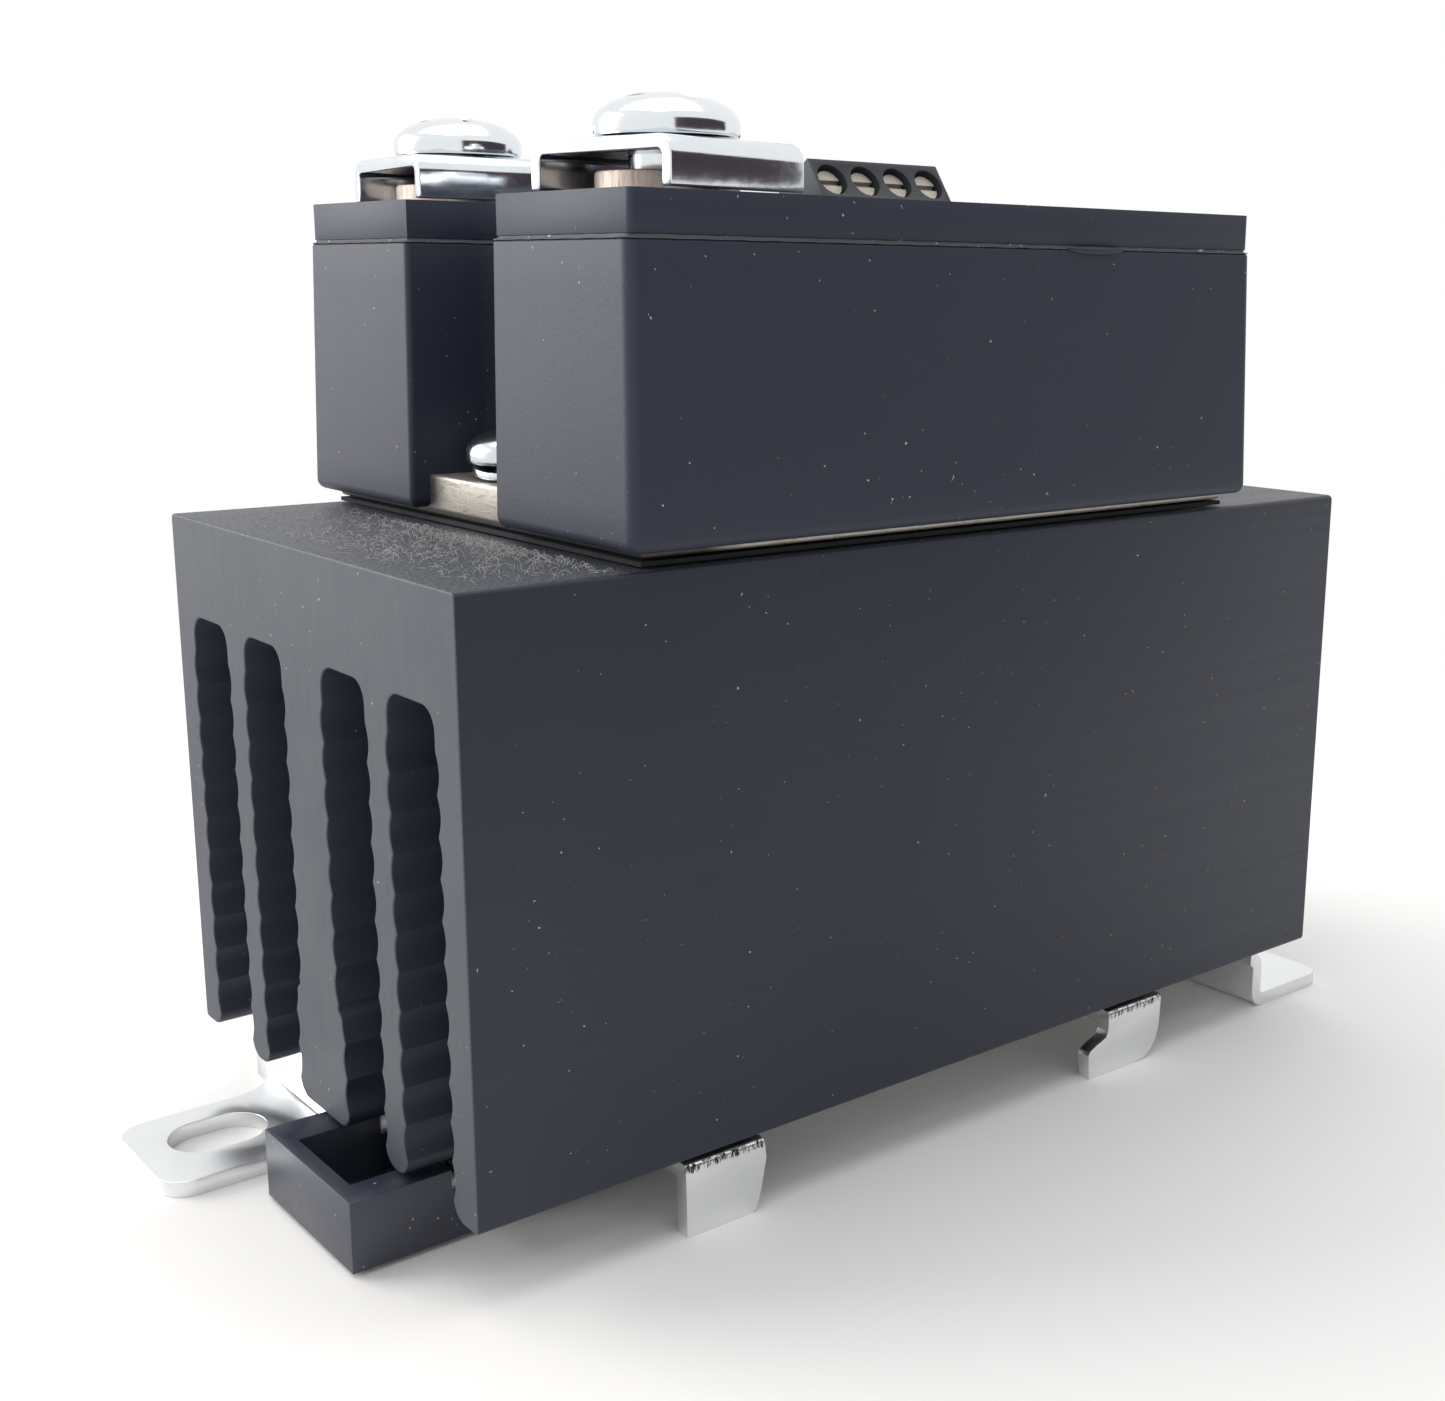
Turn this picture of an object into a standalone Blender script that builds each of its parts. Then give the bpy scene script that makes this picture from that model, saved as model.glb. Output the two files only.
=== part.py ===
"""Solid state relay on a finned heat sink, with a bracket for a 35 mm rail or a panel.

Sizes are in millimetres and become metres when a mesh is made. The pieces are placed in the
heat sink's own frame: X from its near end, Y from its near long side, Z up from the fin tips.
One parent empty then puts the origin under the middle of the whole object, on the ground.
"""
import math

import bmesh
import bpy
from mathutils import Matrix, Vector

MM = 0.001
CLEARANCE = 0.3          # between pieces that rest on, or fit into, each other
THIN_CLEARANCE = 0.15    # in the thin stack of pad, plate, washer and screw head

# Heat sink extrusion
SINK_LENGTH = 83.6
SINK_WIDTH = 44.6
SINK_HEIGHT = 40.4
SINK_TOP_PLATE = 7.4
OUTER_WALL = 3.2
OUTER_SLOT = 6.2
INNER_FIN = 3.3
INNER_SLOT = 6.3
WEB_FOOT_EXTRA = 0.8     # how far the middle web's foot is wider on each side
WEB_FOOT_HEIGHT = 8.5
SCALLOP_PITCH = 2.65
SCALLOP_DEPTH = 0.36
SCALLOP_START = 1.2
SCALLOP_COUNT = 11
SCALLOP_STEPS = 4
SLOT_CORNER = 1.5
FIN_TIP_CORNER = 1.4
SINK_EDGE = 0.4

# Relay module on top; its heights are above the heat sink's top face
MODULE_START = 12.1
MODULE_LENGTH = 58.4
MODULE_WIDTH = 45.0
MODULE_CORNER = 0.9
HOUSING_BOTTOM = 1.1
HOUSING_TOP = 19.95
HOUSING_WALL = 1.6
HOUSING_DRAFT_X = 0.4
HOUSING_DRAFT_Y = 0.6
NOTCH_WALL = 1.0
NEAR_NOTCH = (12.2, 10.2, 5.0)   # width, depth and corner radius
FAR_NOTCH = (8.8, 9.8, 4.4)
MOUNT_HOLE_INSET = 5.4
COVER_INSET = 0.28
COVER_HEIGHT = 22.9
PAD_THICKNESS = 0.3
PLATE_THICKNESS = 2.9
PLATE_END_INSET = 1.15
PLATE_WIDTH = 43.0
MOUNT_SCREW = 4.0
MOUNT_HEAD = 8.0
MOUNT_HEAD_HEIGHT = 2.6
MOUNT_SCREW_REACH = 8.0
WASHER_OUTER = 7.2
WASHER_THICKNESS = 0.9
DRIVER_SLOT = 1.1

# Power terminals
TERMINAL_FROM_END = 8.6
TERMINAL_SPACING = 28.0
POST_DIAMETER = 9.4
POST_RISE = 1.4          # above the cover
POST_HEIGHT = 6.6
CLAMP_LENGTH = 11.6
CLAMP_WIDTH = 13.5
CLAMP_SHEET = 0.9
CLAMP_BEND = 1.3
CLAMP_LEG_GAP = 0.2
CLAMP_OVER_POST = 1.0    # room for a wire while the screw is loose
CLAMP_SKEW = {"right": 7.9, "left": -6.0}
TERMINAL_SCREW = 5.0
TERMINAL_HEAD = 9.5
TERMINAL_HEAD_HEIGHT = 2.95
TERMINAL_SCREW_LENGTH = 7.0
TERMINAL_RECESS_WIDTH = 1.2
TERMINAL_RECESS_LENGTH = 6.0
TERMINAL_RECESS_DEPTH = 1.6
RECESS_CUT_TOP = 9.0      # above any screw head

# Conductors, chips and board inside the housing
BUSBAR_SHEET = 1.2
BUSBAR_WIDTH = 7.0
BUSBAR_LEG_FROM_POST = 9.5
BUSBAR_FOOT = 4.5
SUBSTRATE_SIZE = (24.0, 36.0, 1.0)
SUBSTRATE_START = 17.5   # from the relay's near end
CHIP_SIZE = (8.0, 8.0, 0.6)
CHIP_SPACING = 13.0
CHIP_FROM_SUBSTRATE_START = 13.5
POTTING_THICKNESS = 3.2
BOARD_START = 21.5
BOARD_LENGTH = 25.5
BOARD_SIDE_INSET = 4.4
BOARD_TAB = 1.9
BOARD_THICKNESS = 1.6
BOARD_HEIGHT = 12.0
LEAD_DIAMETER = 0.8
LEAD_COLLAR = 1.8
LEAD_X = (24.6, 40.3)    # from the relay's near end
LEAD_SPACING = 26.0
OPTOCOUPLER = (4.6, 2.0, 6.8, 6.5, 3.4)       # X and Y on the board, then its three sizes
CONTROL_CHIP = (12.8, 2.0, 4.6, 6.2, 1.6)
FILM_CAPACITOR = (4.6, 24.0, 6.4, 9.5, 4.2)
RESISTOR = (6.0, 12.2, 1.8, 3.4, 0.9)
RESISTOR_PITCH = 4.2
RESISTOR_COUNT = 3

# Control plug; U is along the row, V along the screws, W along the wires
POLE_COUNT = 4
POLE_PITCH = 3.5
FIRST_POLE = 36.0        # from the relay's near end
PLUG_END_WALL = 1.75
PLUG_RIDGE_OFFSET = 3.7  # beyond the relay's middle line, as the next two are
PLUG_RIDGE_Z = 27.2
PLUG_TILT = 35.0
PLUG_STEM_OFFSET = (2.9, 9.7)
PLUG_STEM_CHAMFER = 1.6
PLUG_STEM_OVERLAP = 0.5   # how far the stem's shape runs up into the block
PLUG_STEM_INSET = 0.35
PLUG_STEM_BOTTOM = 15.7
POLE_HOLE = 2.9
POLE_W = 1.95
POLE_HEAD = 2.4
POLE_HEAD_V = (0.5, 1.2)
POLE_SHANK = 1.5
POLE_SHANK_END = 4.0
CAGE_V = (3.5, 6.5)
CAGE_W = (0.75, 3.15)
CAGE_WIDTH = 2.2
CAGE_SHEET = 0.5
CAGE_TRAVEL = 1.1
WIRE_HOLE = 1.5
BAR_V = 4.3
BAR_SHEET = 0.4
BAR_WIDTH = 0.8
PIN_SIZE = 0.8
PIN_OFFSET = 5.3
PIN_TOP = 18.2
HEADER_END_WALL = 0.9
HEADER_WALL = 1.0
HEADER_FLOOR = 1.4
HEADER_WALL_TOP = 19.6

# Bracket of bent sheet; heights are below its own upper face
SHEET = 1.2
BEND_INNER = 0.4
STAND_DEPTH = 5.35
BRACKET_SIDE_INSET = 1.1
PLATE_SIDE_INSET = 4.8
NEAR_WALL_INSET = 3.4
FAR_WALL_INSET = 4.4
NEAR_WALL_WIDTH = 18.5
TONGUE_WIDTH = 11.3
TONGUE_INSET = 1.7       # from the near wall's inner side
PLATE_REACH = 9.0        # how far each bent shape runs into the plate
TONGUE_REACH = 9.9       # beyond the heat sink's near end
TONGUE_CORNER = 2.2
TONGUE_FILLET = 4.0
TONGUE_SLOT = (7.2, 5.3)
TONGUE_SLOT_FROM_TIP = 2.4
FOOT_SLOT_INSET = 11.6   # from the heat sink's far long side
FAR_FOOT_REACH = 4.6     # beyond the heat sink's far end
FAR_FOOT_CORNER = 1.6
RAIL_START = 22.3
RAIL_WIDTH = 35.1
HOOK_LENGTH = 7.0
HOOK_BEND = 0.35         # outer radius of the sharp bend that a hook hangs from
HOOK_ROOT = 6.0          # how far a hook's root runs in over the plate
PLAIN_HOOK = ((0.3, 0.0), (0.35, -5.35), (5.9, -5.35), (6.25, -5.1), (6.6, -3.9), (7.1, -1.5),
              (6.9, 0.0))       # X from the hook's start and Z, down one side and up the other
BARBED_HOOK = ((0.25, 0.0), (0.25, -1.3), (0.2, -1.75), (0.0, -2.15), (-0.5, -2.35),
               (-1.1, -2.55), (-1.9, -2.95), (-2.05, -3.25), (-1.85, -5.35), (3.6, -5.35),
               (4.8, -5.2), (5.6, -4.7), (6.2, -3.9), (6.55, -2.8), (6.7, 0.0))
BRACKET_SCREW_X = (33.0, 49.0)
BRACKET_SCREW = 3.0
BRACKET_SCREW_HEAD = 5.4
BRACKET_SCREW_REACH = 6.5

# Rail latch slider; heights are below the fin tips
LATCH_WIDTH = 13.6
LATCH_TO_WALL = 2.0      # from the near wall's side
LATCH_FRONT = -4.15
LATCH_TOP = 0.3
LATCH_FLOOR = 0.6
LATCH_BOTTOM = 5.3
LATCH_SIDE_WALLS = (2.4, 3.0)
LATCH_FRONT_WALL = 1.15
LATCH_TROUGH_END = 16.0
LATCH_NOSE_REACH = 2.0
LATCH_NOSE_TOP = 2.75
LATCH_TRAVEL = 3.5
GUIDE_X = (9.0, 13.0)
GUIDE_LIP = 1.3
GROOVE_START = 6.0
SPRING_TAB_WIDTH = 5.0
SPRING_OUTER = 2.4
SPRING_WIRE = 0.45
SPRING_TURNS = 7
SPRING_STEPS = 8

ROUND_STEPS = 32
SMALL_ROUND_STEPS = 16

MIDDLE_Y = SINK_WIDTH / 2
MODULE_Z = SINK_HEIGHT
PLUG_RIDGE_Y = MIDDLE_Y + PLUG_RIDGE_OFFSET
PLUG_STEM_Y = (MIDDLE_Y + PLUG_STEM_OFFSET[0], MIDDLE_Y + PLUG_STEM_OFFSET[1])
PIN_Y = MIDDLE_Y + PIN_OFFSET
NEAR_WALL_HIGH = SINK_WIDTH - BRACKET_SIDE_INSET
NEAR_WALL_Y = (NEAR_WALL_HIGH - NEAR_WALL_WIDTH, NEAR_WALL_HIGH)
TONGUE_Y = (NEAR_WALL_Y[0] + TONGUE_INSET, NEAR_WALL_Y[0] + TONGUE_INSET + TONGUE_WIDTH)
FOOT_SLOT_Y = SINK_WIDTH - FOOT_SLOT_INSET
LATCH_HIGH = NEAR_WALL_Y[0] - LATCH_TO_WALL
LATCH_Y = (LATCH_HIGH - LATCH_WIDTH, LATCH_HIGH)
LATCH_TROUGH_Y = (LATCH_Y[0] + LATCH_SIDE_WALLS[0], LATCH_Y[1] - LATCH_SIDE_WALLS[1])
MODULE_END = MODULE_START + MODULE_LENGTH
PLATE_Z = MODULE_Z + 2 * THIN_CLEARANCE + PAD_THICKNESS
PLATE_TOP = PLATE_Z + PLATE_THICKNESS
COVER_Z = MODULE_Z + HOUSING_TOP + CLEARANCE
COVER_TOP = MODULE_Z + COVER_HEIGHT
BEND_OUTER = SHEET + BEND_INNER
NEAR_WALL = NEAR_WALL_INSET
FAR_WALL = SINK_LENGTH - FAR_WALL_INSET
FAR_TIP = SINK_LENGTH + FAR_FOOT_REACH
RAIL_END = RAIL_START + RAIL_WIDTH


# ---------------------------------------------------------------- mesh helpers

def clear_scene():
    """Remove every object of the open file."""
    for item in list(bpy.data.objects):
        bpy.data.objects.remove(item, do_unlink=True)


def arc(cx, cy, radius, start, end, steps):
    """Points on a circle from one angle to another, in degrees, both ends included."""
    points = []
    for i in range(steps + 1):
        angle = math.radians(start + (end - start) * i / steps)
        points.append((cx + radius * math.cos(angle), cy + radius * math.sin(angle)))
    return points


def rounded_rectangle(x0, x1, y0, y1, radius, steps=4):
    """Outline of a rectangle with round corners, counter-clockwise."""
    return (arc(x1 - radius, y0 + radius, radius, -90, 0, steps)
            + arc(x1 - radius, y1 - radius, radius, 0, 90, steps)
            + arc(x0 + radius, y1 - radius, radius, 90, 180, steps)
            + arc(x0 + radius, y0 + radius, radius, 180, 270, steps))


def place_points(outline, axis, level):
    """Put a flat outline into space: it lies across the axis, at a level along it."""
    if axis == "X":
        return [(level, a, b) for a, b in outline]
    if axis == "Y":
        return [(a, level, b) for a, b in outline]
    return [(a, b, level) for a, b in outline]


def skin_rings(bm, rings, closed_ends=True):
    """Join rings of points by faces and close the two ends."""
    made = [[bm.verts.new(point) for point in ring] for ring in rings]
    count = len(made[0])
    for low, high in zip(made, made[1:]):
        for i in range(count):
            j = (i + 1) % count
            bm.faces.new((low[i], low[j], high[j], high[i]))
    if closed_ends:
        bm.faces.new(list(reversed(made[0])))
        bm.faces.new(made[-1])
    return made


def solid(rings):
    """A closed body through rings of points, with its faces pointing out."""
    bm = bmesh.new()
    skin_rings(bm, rings)
    bmesh.ops.recalc_face_normals(bm, faces=bm.faces)
    return bm


def prism(outline, axis, low, high):
    """A closed body: a flat outline carried along an axis."""
    return solid([place_points(outline, axis, low), place_points(outline, axis, high)])


def box(x0, x1, y0, y1, z0, z1):
    """A closed box between two corners."""
    return prism([(x0, y0), (x1, y0), (x1, y1), (x0, y1)], "Z", z0, z1)


def turned(profile, steps=ROUND_STEPS):
    """A closed body turned about Z from (radius, height) points that start and end on the axis."""
    bm = bmesh.new()
    bottom = bm.verts.new((0, 0, profile[0][1]))
    top = bm.verts.new((0, 0, profile[-1][1]))
    rings = []
    for radius, height in profile[1:-1]:
        ring = []
        for i in range(steps):
            angle = 2 * math.pi * i / steps
            ring.append(bm.verts.new((radius * math.cos(angle), radius * math.sin(angle), height)))
        rings.append(ring)
    for i in range(steps):
        j = (i + 1) % steps
        bm.faces.new((bottom, rings[0][j], rings[0][i]))
        for low, high in zip(rings, rings[1:]):
            bm.faces.new((low[i], low[j], high[j], high[i]))
        bm.faces.new((rings[-1][i], rings[-1][j], top))
    bmesh.ops.recalc_face_normals(bm, faces=bm.faces)
    return bm


def rod(diameter, z0, z1, steps=SMALL_ROUND_STEPS):
    """A closed cylinder on the Z axis."""
    radius = diameter / 2
    return turned([(0, z0), (radius, z0), (radius, z1), (0, z1)], steps)


def moved(bm, x=0.0, y=0.0, z=0.0):
    """Shift a body."""
    bmesh.ops.translate(bm, verts=bm.verts, vec=(x, y, z))
    return bm


def oriented(bm, matrix):
    """Carry a body by a matrix."""
    bmesh.ops.transform(bm, matrix=matrix, verts=bm.verts)
    return bm


def temporary_object(bm):
    """An object that holds a body while it is being worked on."""
    mesh = bpy.data.meshes.new("work")
    bm.to_mesh(mesh)
    bm.free()
    item = bpy.data.objects.new("work", mesh)
    bpy.context.scene.collection.objects.link(item)
    return item


def combined(operation, bm, other):
    """Union, difference or intersection of two closed bodies."""
    base = temporary_object(bm)
    tool = temporary_object(other)
    modifier = base.modifiers.new("combine", "BOOLEAN")
    modifier.operation = operation
    modifier.solver = "EXACT"
    modifier.object = tool
    graph = bpy.context.evaluated_depsgraph_get()
    result = bmesh.new()
    result.from_object(base, graph)
    for item in (base, tool):
        mesh = item.data
        bpy.data.objects.remove(item, do_unlink=True)
        bpy.data.meshes.remove(mesh)
    return result


def cut(bm, *tools):
    """Take bodies away from a body."""
    for tool in tools:
        bm = combined("DIFFERENCE", bm, tool)
    return bm


def fused(bm, *others):
    """Weld overlapping bodies into one."""
    for other in others:
        bm = combined("UNION", bm, other)
    return bm


def overlap(bm, other):
    """Keep what two bodies share."""
    return combined("INTERSECT", bm, other)


def make_material(name, colour, roughness, metallic=0.0):
    """A Principled material from a linear colour."""
    material = bpy.data.materials.new(name)
    material.use_nodes = True
    shader = material.node_tree.nodes["Principled BSDF"]
    shader.inputs["Base Color"].default_value = (*colour, 1.0)
    shader.inputs["Roughness"].default_value = roughness
    shader.inputs["Metallic"].default_value = metallic
    return material


def add_piece(name, bm, look, at=(0.0, 0.0, 0.0), turn=None):
    """Make one named object of a body, in metres, under the parent empty."""
    bmesh.ops.dissolve_degenerate(bm, dist=0.0005, edges=bm.edges)
    bmesh.ops.scale(bm, vec=(MM, MM, MM), verts=bm.verts)
    mesh = bpy.data.meshes.new(name)
    bm.to_mesh(mesh)
    bm.free()
    mesh.materials.append(make_material(name, *look))
    mesh.shade_smooth()
    mesh.set_sharp_from_angle(angle=math.radians(35))
    item = bpy.data.objects.new(name, mesh)
    bpy.context.scene.collection.objects.link(item)
    item.parent = bpy.data.objects["relay_frame"]
    place = Matrix.Translation(Vector(at) * MM)
    item.matrix_local = place @ turn if turn else place
    return item


ANODISED = ((0.018, 0.019, 0.023), 0.45, 0.6)
ZINC = ((0.72, 0.74, 0.77), 0.22, 1.0)
BLACK_PLASTIC = ((0.02, 0.021, 0.025), 0.5)
GLOSS_PLASTIC = ((0.012, 0.013, 0.018), 0.2)
BARE_METAL = ((0.62, 0.6, 0.56), 0.4, 1.0)
COPPER = ((0.72, 0.42, 0.27), 0.3, 1.0)
TAN_PLATE = ((0.62, 0.5, 0.44), 0.35, 1.0)
GREY_PAD = ((0.3, 0.3, 0.3), 0.8)
CERAMIC = ((0.85, 0.85, 0.82), 0.5)
SILICON = ((0.16, 0.17, 0.2), 0.3, 0.5)
FILL = ((0.35, 0.37, 0.4), 0.35)
BOARD_GREEN = ((0.02, 0.12, 0.05), 0.5)
PART_BLACK = ((0.02, 0.02, 0.02), 0.5)
FILM_YELLOW = ((0.6, 0.36, 0.05), 0.4)
RESISTOR_BLUE = ((0.12, 0.25, 0.35), 0.45)


# ---------------------------------------------------------------- heat sink

def slot_edges():
    """Y ranges of the four slots, with the sides on which the middle web stands."""
    first = OUTER_WALL
    second = first + OUTER_SLOT + INNER_FIN
    left = [(first, first + OUTER_SLOT, False, False), (second, second + INNER_SLOT, False, True)]
    right = [(SINK_WIDTH - b, SINK_WIDTH - a, web, False) for a, b, _, web in reversed(left)]
    return left + right


def scalloped_wall(y, into_metal, beside_web):
    """A slot's wall from its tip to its top corner: round hollows that meet in ridges.

    The wall lies at y, and is hollowed into the metal by the depth times the absolute sine
    of the height, once in each pitch. Beside the web's foot it stands out by the foot's extra.
    """
    points = []
    for i in range(SCALLOP_COUNT * SCALLOP_STEPS + 1):
        phase = i / SCALLOP_STEPS
        z = SCALLOP_START + SCALLOP_PITCH * phase
        hollow = SCALLOP_DEPTH * abs(math.sin(math.pi * phase))
        foot = WEB_FOOT_EXTRA if beside_web and z < WEB_FOOT_HEIGHT else 0.0
        points.append((y + into_metal * (hollow - foot), z))
    return points


def heat_sink_outline():
    """Cross-section of the extrusion, across X."""
    top = SINK_HEIGHT
    ceiling = SINK_HEIGHT - SINK_TOP_PLATE
    tip = FIN_TIP_CORNER
    points = arc(SINK_WIDTH - SINK_EDGE, SINK_EDGE, SINK_EDGE, -90, 0, 2)
    points += arc(SINK_WIDTH - SINK_EDGE, top - SINK_EDGE, SINK_EDGE, 0, 90, 2)
    points += arc(SINK_EDGE, top - SINK_EDGE, SINK_EDGE, 90, 180, 2)
    points += arc(SINK_EDGE, SINK_EDGE, SINK_EDGE, 180, 270, 2)
    for low, high, web_low, web_high in slot_edges():
        low_tip = low + (WEB_FOOT_EXTRA if web_low else 0.0)
        high_tip = high - (WEB_FOOT_EXTRA if web_high else 0.0)
        points += arc(low_tip - tip, tip, tip, -90, -30, 3)
        points += scalloped_wall(low, -1, web_low)
        points += arc(low + SLOT_CORNER, ceiling - SLOT_CORNER, SLOT_CORNER, 180, 90, 4)
        points += arc(high - SLOT_CORNER, ceiling - SLOT_CORNER, SLOT_CORNER, 90, 0, 4)
        points += reversed(scalloped_wall(high, 1, web_high))
        points += arc(high_tip + tip, tip, tip, 210, 270, 3)
    return points


def mount_centres():
    """X and Y of the two screws that hold the relay down."""
    return [(MODULE_START + MOUNT_HOLE_INSET, MIDDLE_Y), (MODULE_END - MOUNT_HOLE_INSET, MIDDLE_Y)]


def heat_sink():
    """Extruded body with blind holes for the relay's screws and the bracket's screws."""
    body = prism(heat_sink_outline(), "X", 0.0, SINK_LENGTH)
    for x, y in mount_centres():
        hole = rod(MOUNT_SCREW + 2 * CLEARANCE, SINK_HEIGHT - MOUNT_SCREW_REACH - 1.0,
                   SINK_HEIGHT + 1.0)
        body = cut(body, moved(hole, x, y))
    for x in BRACKET_SCREW_X:
        body = cut(body, moved(bracket_screw_body(CLEARANCE), x, MIDDLE_Y, -CLEARANCE))
    add_piece("heat_sink", body, ANODISED)


# ---------------------------------------------------------------- bracket

def bracket_screw_body(grow):
    """Countersunk screw, head down, flush with the sheet; grown, it cuts its own hole."""
    head = BRACKET_SCREW_HEAD / 2 + grow
    shank = BRACKET_SCREW / 2 + grow
    cone = (BRACKET_SCREW_HEAD - BRACKET_SCREW) / 2
    bottom = -SHEET - (1.0 if grow else 0.0)
    return turned([(0, bottom), (head, bottom), (head, -SHEET + 0.2), (shank, -SHEET + 0.2 + cone),
                   (shank, BRACKET_SCREW_REACH + grow), (0, BRACKET_SCREW_REACH + grow)],
                  SMALL_ROUND_STEPS)


def hook_outline(start, barbed):
    """A side hook seen along Y; the barbed one reaches back under the rail's edge."""
    return [(start + x, z) for x, z in (BARBED_HOOK if barbed else PLAIN_HOOK)]


def bent_side_profile(far_side):
    """Sheet that turns down sharply at one long side, seen along X."""
    depth = STAND_DEPTH
    outline = [(HOOK_ROOT, 0.0), (HOOK_ROOT, -SHEET), (SHEET + BEND_INNER, -SHEET)]
    outline += arc(SHEET + BEND_INNER, -SHEET - BEND_INNER, BEND_INNER, 90, 180, 3)[1:]
    outline += [(SHEET, -depth), (0.0, -depth)]
    outline += arc(HOOK_BEND, -HOOK_BEND, HOOK_BEND, 180, 90, 3)
    if far_side:
        outline = [(SINK_WIDTH - y, z) for y, z in outline]
    return outline


def side_hooks():
    """The four hooks, two a side: plain at the latch's end, barbed at the other."""
    hooks = []
    for far_side in (False, True):
        for start, barbed in ((RAIL_START - HOOK_LENGTH, False), (RAIL_END, True)):
            sheet = prism(bent_side_profile(far_side), "X", start - 3.0, start + HOOK_LENGTH + 1.0)
            trim = prism(hook_outline(start, barbed), "Y", -1.0, SINK_WIDTH + 1.0)
            hooks.append(overlap(sheet, trim))
    return hooks


def bent_end_profile(wall, direction, foot_tip):
    """Sheet that turns down at one end and out again to a foot, seen along Y.

    The wall's outer face is at x = wall, and direction is -1 at the near end and +1 at the far.
    """
    def at(distance, z):
        return wall - direction * distance, z

    top = arc(BEND_OUTER, -BEND_OUTER, BEND_OUTER, 90, 180, 4)
    inner = arc(SHEET + BEND_INNER, -SHEET - BEND_INNER, BEND_INNER, 180, 90, 3)
    outline = [at(PLATE_REACH, 0.0)] + [at(d, z) for d, z in top]
    outline += [at(d, z) for d, z in
                arc(-BEND_INNER, -STAND_DEPTH + SHEET + BEND_INNER, BEND_INNER, 0, -90, 3)]
    outline += [(foot_tip, -STAND_DEPTH + SHEET), (foot_tip, -STAND_DEPTH)]
    outline += [at(d, z) for d, z in
                arc(SHEET - BEND_OUTER, -STAND_DEPTH + BEND_OUTER, BEND_OUTER, -90, 0, 4)]
    outline += [at(d, z) for d, z in inner]
    outline += [at(PLATE_REACH, -SHEET)]
    return outline


def near_end_plan():
    """Outline from above of the bent-down end with its tongue."""
    tip = -TONGUE_REACH
    low, high = TONGUE_Y
    wall_low, wall_high = NEAR_WALL_Y
    fillet = TONGUE_FILLET
    corner = TONGUE_CORNER
    reach = NEAR_WALL + PLATE_REACH
    outline = [(reach, wall_low), (reach, wall_high), (NEAR_WALL, wall_high)]
    outline += arc(NEAR_WALL - fillet, high + fillet, fillet, 0, -90, 8)
    outline += arc(tip + corner, high - corner, corner, 90, 180, 7)
    outline += arc(tip + corner, low + corner, corner, 180, 270, 7)
    outline += arc(NEAR_WALL - (low - wall_low), wall_low, low - wall_low, 90, 0, 2)
    return outline


def stadium(x0, x1, width, y):
    """Outline of a slot with round ends along X."""
    radius = width / 2
    return (arc(x1 - radius, y, radius, -90, 90, 14) + arc(x0 + radius, y, radius, 90, 270, 14))


def tongue_slot():
    """Screw slot of the tongue, from above."""
    start = -TONGUE_REACH + TONGUE_SLOT_FROM_TIP
    length, width = TONGUE_SLOT
    return stadium(start, start + length, width, FOOT_SLOT_Y)


def near_end():
    """Near end: wall, foot and slotted tongue."""
    profile = bent_end_profile(NEAR_WALL, -1, -TONGUE_REACH)
    sheet = prism(profile, "Y", *NEAR_WALL_Y)
    sheet = overlap(sheet, prism(near_end_plan(), "Z", -STAND_DEPTH - 1.0, 1.0))
    return cut(sheet, prism(tongue_slot(), "Z", -STAND_DEPTH - 1.0, -STAND_DEPTH + SHEET + 1.0))


def far_end():
    """Far end: wall and foot over the full width, with an open screw slot."""
    low = BRACKET_SIDE_INSET
    high = SINK_WIDTH - BRACKET_SIDE_INSET
    profile = bent_end_profile(FAR_WALL, 1, FAR_TIP)
    sheet = prism(profile, "Y", low, high)
    corner = FAR_FOOT_CORNER
    neck = FAR_WALL - BEND_OUTER
    plan = [(FAR_WALL - PLATE_REACH, PLATE_SIDE_INSET), (neck, PLATE_SIDE_INSET), (neck, low)]
    plan += arc(FAR_TIP - corner, low + corner, corner, -90, 0, 3)
    plan += arc(FAR_TIP - corner, high - corner, corner, 0, 90, 3)
    plan += [(neck, high), (neck, SINK_WIDTH - PLATE_SIDE_INSET),
             (FAR_WALL - PLATE_REACH, SINK_WIDTH - PLATE_SIDE_INSET)]
    sheet = overlap(sheet, prism(plan, "Z", -STAND_DEPTH - 1.0, 1.0))
    width = TONGUE_SLOT[1]
    start = FAR_WALL + BEND_INNER + 2.2
    slot = stadium(start, FAR_TIP + width, width, FOOT_SLOT_Y)
    return cut(sheet, prism(slot, "Z", -STAND_DEPTH - 1.0, -STAND_DEPTH + SHEET + 1.0))


def latch_middle():
    """Y of the slider's spring and of the tab that it pushes on."""
    return sum(LATCH_TROUGH_Y) / 2


def spring_tab():
    """Tab that turns down into the slider's trough and carries the spring's fixed end."""
    middle = latch_middle()
    bottom = -LATCH_BOTTOM + LATCH_FLOOR + 2 * CLEARANCE
    profile = [(NEAR_WALL + PLATE_REACH, 0.0)]
    profile += arc(NEAR_WALL + BEND_OUTER, -BEND_OUTER, BEND_OUTER, 90, 180, 4)
    profile += [(NEAR_WALL, bottom), (NEAR_WALL + SHEET, bottom)]
    profile += arc(NEAR_WALL + SHEET + BEND_INNER, -SHEET - BEND_INNER, BEND_INNER, 180, 90, 3)
    profile += [(NEAR_WALL + PLATE_REACH, -SHEET)]
    return prism(profile, "Y", middle - SPRING_TAB_WIDTH / 2, middle + SPRING_TAB_WIDTH / 2)


def guide_lip_levels():
    """Z of the bottom and top of the lips that the slider's grooves run on."""
    middle = -(LATCH_BOTTOM + SHEET + CLEARANCE) / 2
    return middle - SHEET / 2, middle + SHEET / 2


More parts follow.
